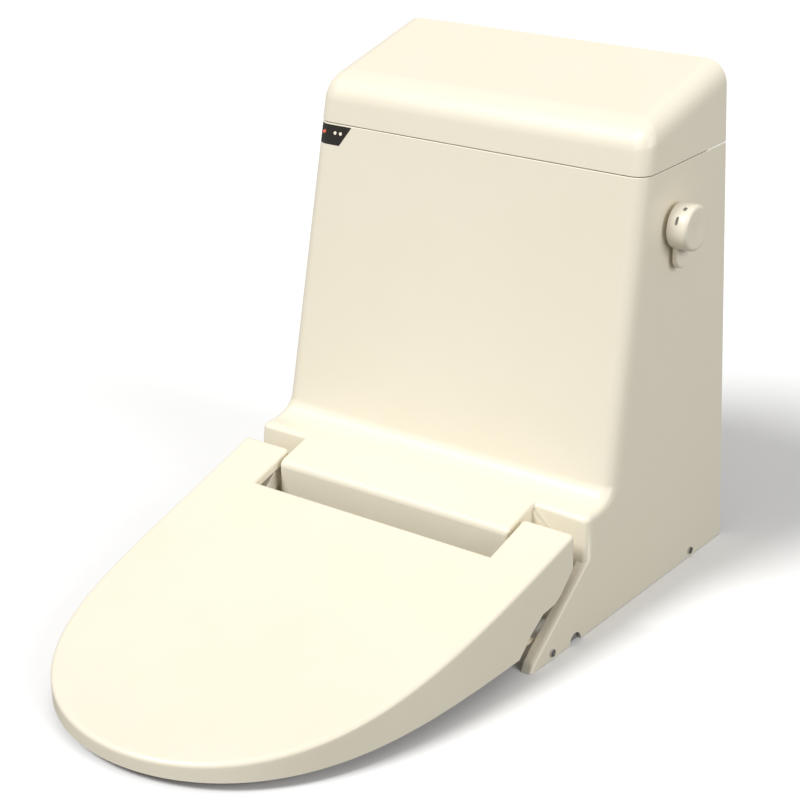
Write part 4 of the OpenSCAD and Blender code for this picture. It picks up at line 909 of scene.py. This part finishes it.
def buildSeat():
    s = seat
    outer = pickAlong(seatOutline(), s["stations"])[:-1]
    centre = Vector((0, s["holeDepth"]))
    bm = bmesh.new()
    rings = []
    arc = [radians(a) for a in (0, 18, 36, 54, 72, 90)]
    for p in outer:
        way = p - centre
        a = atan2(way.y / s["holeLength"], way.x / s["holeHalf"])
        q = centre + Vector((s["holeHalf"] * cos(a), s["holeLength"] * sin(a)))
        width = (q - p).length
        inward = (q - p) / width
        ro, ri = s["outerRound"], s["innerRound"]
        profile = [(0.0, "low")]
        profile += [(ro * (1 - cos(w)), -ro * (1 - sin(w))) for w in arc]
        for f in (0.2, 0.4, 0.6, 0.8):
            profile.append((ro + (width - ro - ri) * f, -s["dish"] * sin(pi * f / 2) ** 2))
        profile += [(width - ri * (1 - sin(w)), -s["dish"] - ri * (1 - cos(w))) for w in arc]
        profile.append((width, "low"))
        column = []
        for along, drop in profile:
            v = p + inward * along
            z = seatLow(v.y) + s["plate"] if drop == "low" else seatTop(v.y) + drop
            column.append(bm.verts.new(at(v.x, v.y, z)))
        rings.append(column)
    n, m = len(rings), len(rings[0])
    for i in range(n):
        j = (i + 1) % n
        for k in range(m):
            l = (k + 1) % m
            bm.faces.new((rings[i][k], rings[j][k], rings[j][l], rings[i][l]))
    bmesh.ops.recalc_face_normals(bm, faces=bm.faces)
    ob = fromBmesh("seatShell", bm, "seat_plastic")
    h = hinge
    ears = []
    for side in (1, -1):
        d0 = s["rear"] + 18
        outline = ring(h["depth"], h["z"], h["ear"], 215, 60)
        outline += [(d0, seatTop(d0) - h["earSink"]), (d0, seatLow(d0) + 12), (s["rear"] - 3, 42)]
        ears.append(earPlate(side * h["seatEar"], side * (h["seatEar"] + h["seatEarWidth"]), outline))
    ob = joined("seatShell", [ob] + ears, "seat_plastic")
    smoothOff(ob, 40)
    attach(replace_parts(ob, "seat_upper"), "seat")


buildSeat()
print("seat built")


# Flush lever

lever = {"depth": 98.0, "z": 364.0, "radius": 22.5, "inner": 200.4, "outer": 222.0, "round": 4.0, "sides": 72,
         "tailWidth": 20.0, "tailThick": 7.0, "tailLength": 42.0, "markSink": 0.4, "markStand": 0.15,
         "marks": ((210.5, 2.8, 18.0, 40.0), (213.5, 3.6, 58.0, 70.0))}


def rimMark(x, width, start, end):  # thin pad following the rim, between two angles above the front
    v = lever
    bm = bmesh.new()
    rows, steps = [], 16
    r0, r1 = v["radius"] - v["markSink"], v["radius"] + v["markStand"]
    for i in range(steps + 1):
        t = 2 * i / steps - 1
        a = radians((start + end) / 2 + (end - start) / 2 * t)
        half = max(0.1, width / 2 * (1 - abs(t) ** 4) ** 0.5)
        rows.append([bm.verts.new(at(x + s * half, v["depth"] + r * cos(a), v["z"] + r * sin(a)))
                     for r, s in ((r0, -1), (r0, 1), (r1, 1), (r1, -1))])
    for a, b in zip(rows, rows[1:]):
        for k in range(4):
            bm.faces.new((a[k], a[k - 3], b[k - 3], b[k]))
    bm.faces.new(rows[0])
    bm.faces.new(rows[-1])
    bmesh.ops.recalc_face_normals(bm, faces=bm.faces)
    return fromBmesh("mark", bm, "pad_rubber")


def buildLever():
    v = lever
    profile = [(v["inner"], 6.0), (v["inner"], v["radius"] - 1.2), (v["inner"] + 0.4, v["radius"] - 0.4),
               (v["inner"] + 1.2, v["radius"])]
    for i in range(9):
        a = radians(90 * i / 8)
        profile.append((v["outer"] - v["round"] * (1 - sin(a)), v["radius"] - v["round"] * (1 - cos(a))))
    profile += [(v["outer"] - 0.1, 12.0), (v["outer"] - 0.5, 6.0), (v["outer"] - 0.6, 0.0)]
    bm = bmesh.new()
    n = v["sides"]
    rows = []
    for x, r in profile:
        if r == 0.0:
            rows.append([bm.verts.new(at(x, v["depth"], v["z"]))] * n)
            continue
        rows.append([bm.verts.new(at(x, v["depth"] + r * cos(2 * pi * i / n), v["z"] + r * sin(2 * pi * i / n)))
                     for i in range(n)])
    for a, b in zip(rows, rows[1:]):
        for i in range(n):
            j = (i + 1) % n
            quad = [a[i], a[j], b[j], b[i]]
            bm.faces.new([q for k, q in enumerate(quad) if q is not quad[k - 1]])
    bm.faces.new(rows[0])
    bmesh.ops.recalc_face_normals(bm, faces=bm.faces)
    drum = fromBmesh("drum", bm, "lever_plastic")
    w = v["tailWidth"] / 2
    end = v["z"] - v["tailLength"] + w
    outline = [(v["depth"] + w * cos(radians(a)), end + w * sin(radians(a))) for a in range(180, 361, 15)]
    outline += [(v["depth"] + w, v["z"]), (v["depth"] - w, v["z"])]
    tail = extruded("tail", outline, across, v["inner"], v["inner"] + v["tailThick"], "lever_plastic")
    softEdges(tail, 2.0, 4)
    ob = joined("leverGrip", [drum, tail], "lever_plastic")
    smoothOff(ob, 40)
    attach(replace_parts(ob, "flush_lever"), "lever")
    marks = joined("leverMarks", [rimMark(*mark) for mark in v["marks"]], "pad_rubber")
    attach(marks, "lever")


buildLever()
print("lever built")


# Casing screws, one node tree instanced at the four holes

screws = {"stand": 1.3, "inputs": {
    "Head Radius": 3.8 * mm, "Head Height": 1.8 * mm, "Dome": 0.7, "Recess Length": 4.0 * mm,
    "Recess Width": 0.9 * mm, "Shank Radius": 1.85 * mm, "Shank Length": 9.0 * mm, "Seed": 7}}


def vectorOf(tree, **parts):
    return addNode(tree, "ShaderNodeCombineXYZ", {key.upper(): value for key, value in parts.items()}).outputs[0]


def positionParts(tree):
    return addNode(tree, "ShaderNodeSeparateXYZ", {0: addNode(tree, "GeometryNodeInputPosition").outputs[0]}).outputs


def shifted(tree, geometry, height):  # moved along the screw's own axis
    return addNode(tree, "GeometryNodeTransform",
                   {"Geometry": geometry, "Translation": vectorOf(tree, z=height)}).outputs[0]


def carved(tree, body, cutter):
    node = addNode(tree, "GeometryNodeMeshBoolean", operation="DIFFERENCE", solver="EXACT")
    tree.links.new(body, node.inputs[0])
    tree.links.new(cutter, node.inputs[1])
    return node.outputs[0]


def screwTree():
    tree = bpy.data.node_groups.new("panScrews", "GeometryNodeTree")
    tree.interface.new_socket("Geometry", in_out="INPUT", socket_type="NodeSocketGeometry")
    for label, value in screws["inputs"].items():
        kind = "NodeSocketInt" if label == "Seed" else "NodeSocketFloat"
        tree.interface.new_socket(label, in_out="INPUT", socket_type=kind).default_value = value
    tree.interface.new_socket("Geometry", in_out="OUTPUT", socket_type="NodeSocketGeometry")
    gin, gout = tree.nodes.new("NodeGroupInput"), tree.nodes.new("NodeGroupOutput")
    wide, tall = gin.outputs["Head Radius"], gin.outputs["Head Height"]
    shankLength = gin.outputs["Shank Length"]

    head = addNode(tree, "GeometryNodeMeshCylinder", {
        "Vertices": 40, "Side Segments": 3, "Fill Segments": 8, "Radius": wide, "Depth": tall})
    x, y, z = positionParts(tree)
    spread = mathNode(tree, "ADD", mathNode(tree, "MULTIPLY", x, x), mathNode(tree, "MULTIPLY", y, y))
    share = mathNode(tree, "DIVIDE", spread, mathNode(tree, "MULTIPLY", wide, wide))
    upper = mathNode(tree, "MULTIPLY", mathNode(tree, "GREATER_THAN", z, 0.0), z)
    fall = mathNode(tree, "MULTIPLY", gin.outputs["Dome"], -1.0)
    drop = mathNode(tree, "MULTIPLY", mathNode(tree, "MULTIPLY", upper, share), fall)
    solid = addNode(tree, "GeometryNodeSetPosition", {
        "Geometry": head.outputs["Mesh"], "Offset": vectorOf(tree, z=drop)}).outputs[0]

    long, broad = gin.outputs["Recess Length"], gin.outputs["Recess Width"]
    for a, b in ((long, broad), (broad, long)):
        bar = addNode(tree, "GeometryNodeMeshCube", {"Size": vectorOf(tree, x=a, y=b, z=tall)}).outputs["Mesh"]
        solid = carved(tree, solid, shifted(tree, bar, mathNode(tree, "MULTIPLY", tall, 0.55)))

    shank = addNode(tree, "GeometryNodeMeshCylinder", {
        "Vertices": 32, "Side Segments": 1, "Fill Segments": 1, "Radius": gin.outputs["Shank Radius"],
        "Depth": shankLength}).outputs["Mesh"]
    whole = addNode(tree, "GeometryNodeMeshBoolean", operation="UNION", solver="EXACT")
    tree.links.new(solid, whole.inputs[1])
    tree.links.new(shifted(tree, shank, mathNode(tree, "MULTIPLY", shankLength, -0.5)), whole.inputs[1])

    outward = vectorOf(tree, x=positionParts(tree)[0])
    aim = addNode(tree, "FunctionNodeAlignRotationToVector", {"Vector": outward}, axis="Z")
    twist = addNode(tree, "FunctionNodeRandomValue", {
        "Min": (0.0, 0.0, 0.0), "Max": (0.0, 0.0, 2 * pi), "Seed": gin.outputs["Seed"]}, data_type="FLOAT_VECTOR")
    turned = addNode(tree, "FunctionNodeEulerToRotation", {0: twist.outputs[0]})
    spin = addNode(tree, "FunctionNodeRotateRotation", {0: aim.outputs[0], 1: turned.outputs[0]},
                   rotation_space="LOCAL")
    points = addNode(tree, "GeometryNodeMeshToPoints", {0: gin.outputs["Geometry"]})
    many = addNode(tree, "GeometryNodeInstanceOnPoints", {
        "Points": points.outputs[0], "Instance": whole.outputs[0], "Rotation": spin.outputs[0]})
    real = addNode(tree, "GeometryNodeRealizeInstances", {0: many.outputs[0]})
    coat = addNode(tree, "GeometryNodeSetMaterial", {"Geometry": real.outputs[0], "Material": finish["steel"]})
    tree.links.new(coat.outputs[0], gout.inputs[0])
    return tree


def buildScrews():
    bm = bmesh.new()
    for s in (-1, 1):
        for depth in casing["screwDepths"]:
            bm.verts.new(at(s * (casing["footHalf"] + screws["stand"]), depth, casing["screwZ"]))
    ob = fromBmesh("casingScrews", bm, "steel")
    mod = ob.modifiers.new("screws", "NODES")
    mod.node_group = screwTree()
    for item in mod.node_group.interface.items_tree:
        if item.item_type == "SOCKET" and item.in_out == "INPUT" and item.name in screws["inputs"]:
            mod[item.identifier] = screws["inputs"][item.name]
    settle(ob)
    smoothOff(ob, 40, False)
    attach(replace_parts(ob, "casing_screws"), "housing")


buildScrews()
print("screws built")
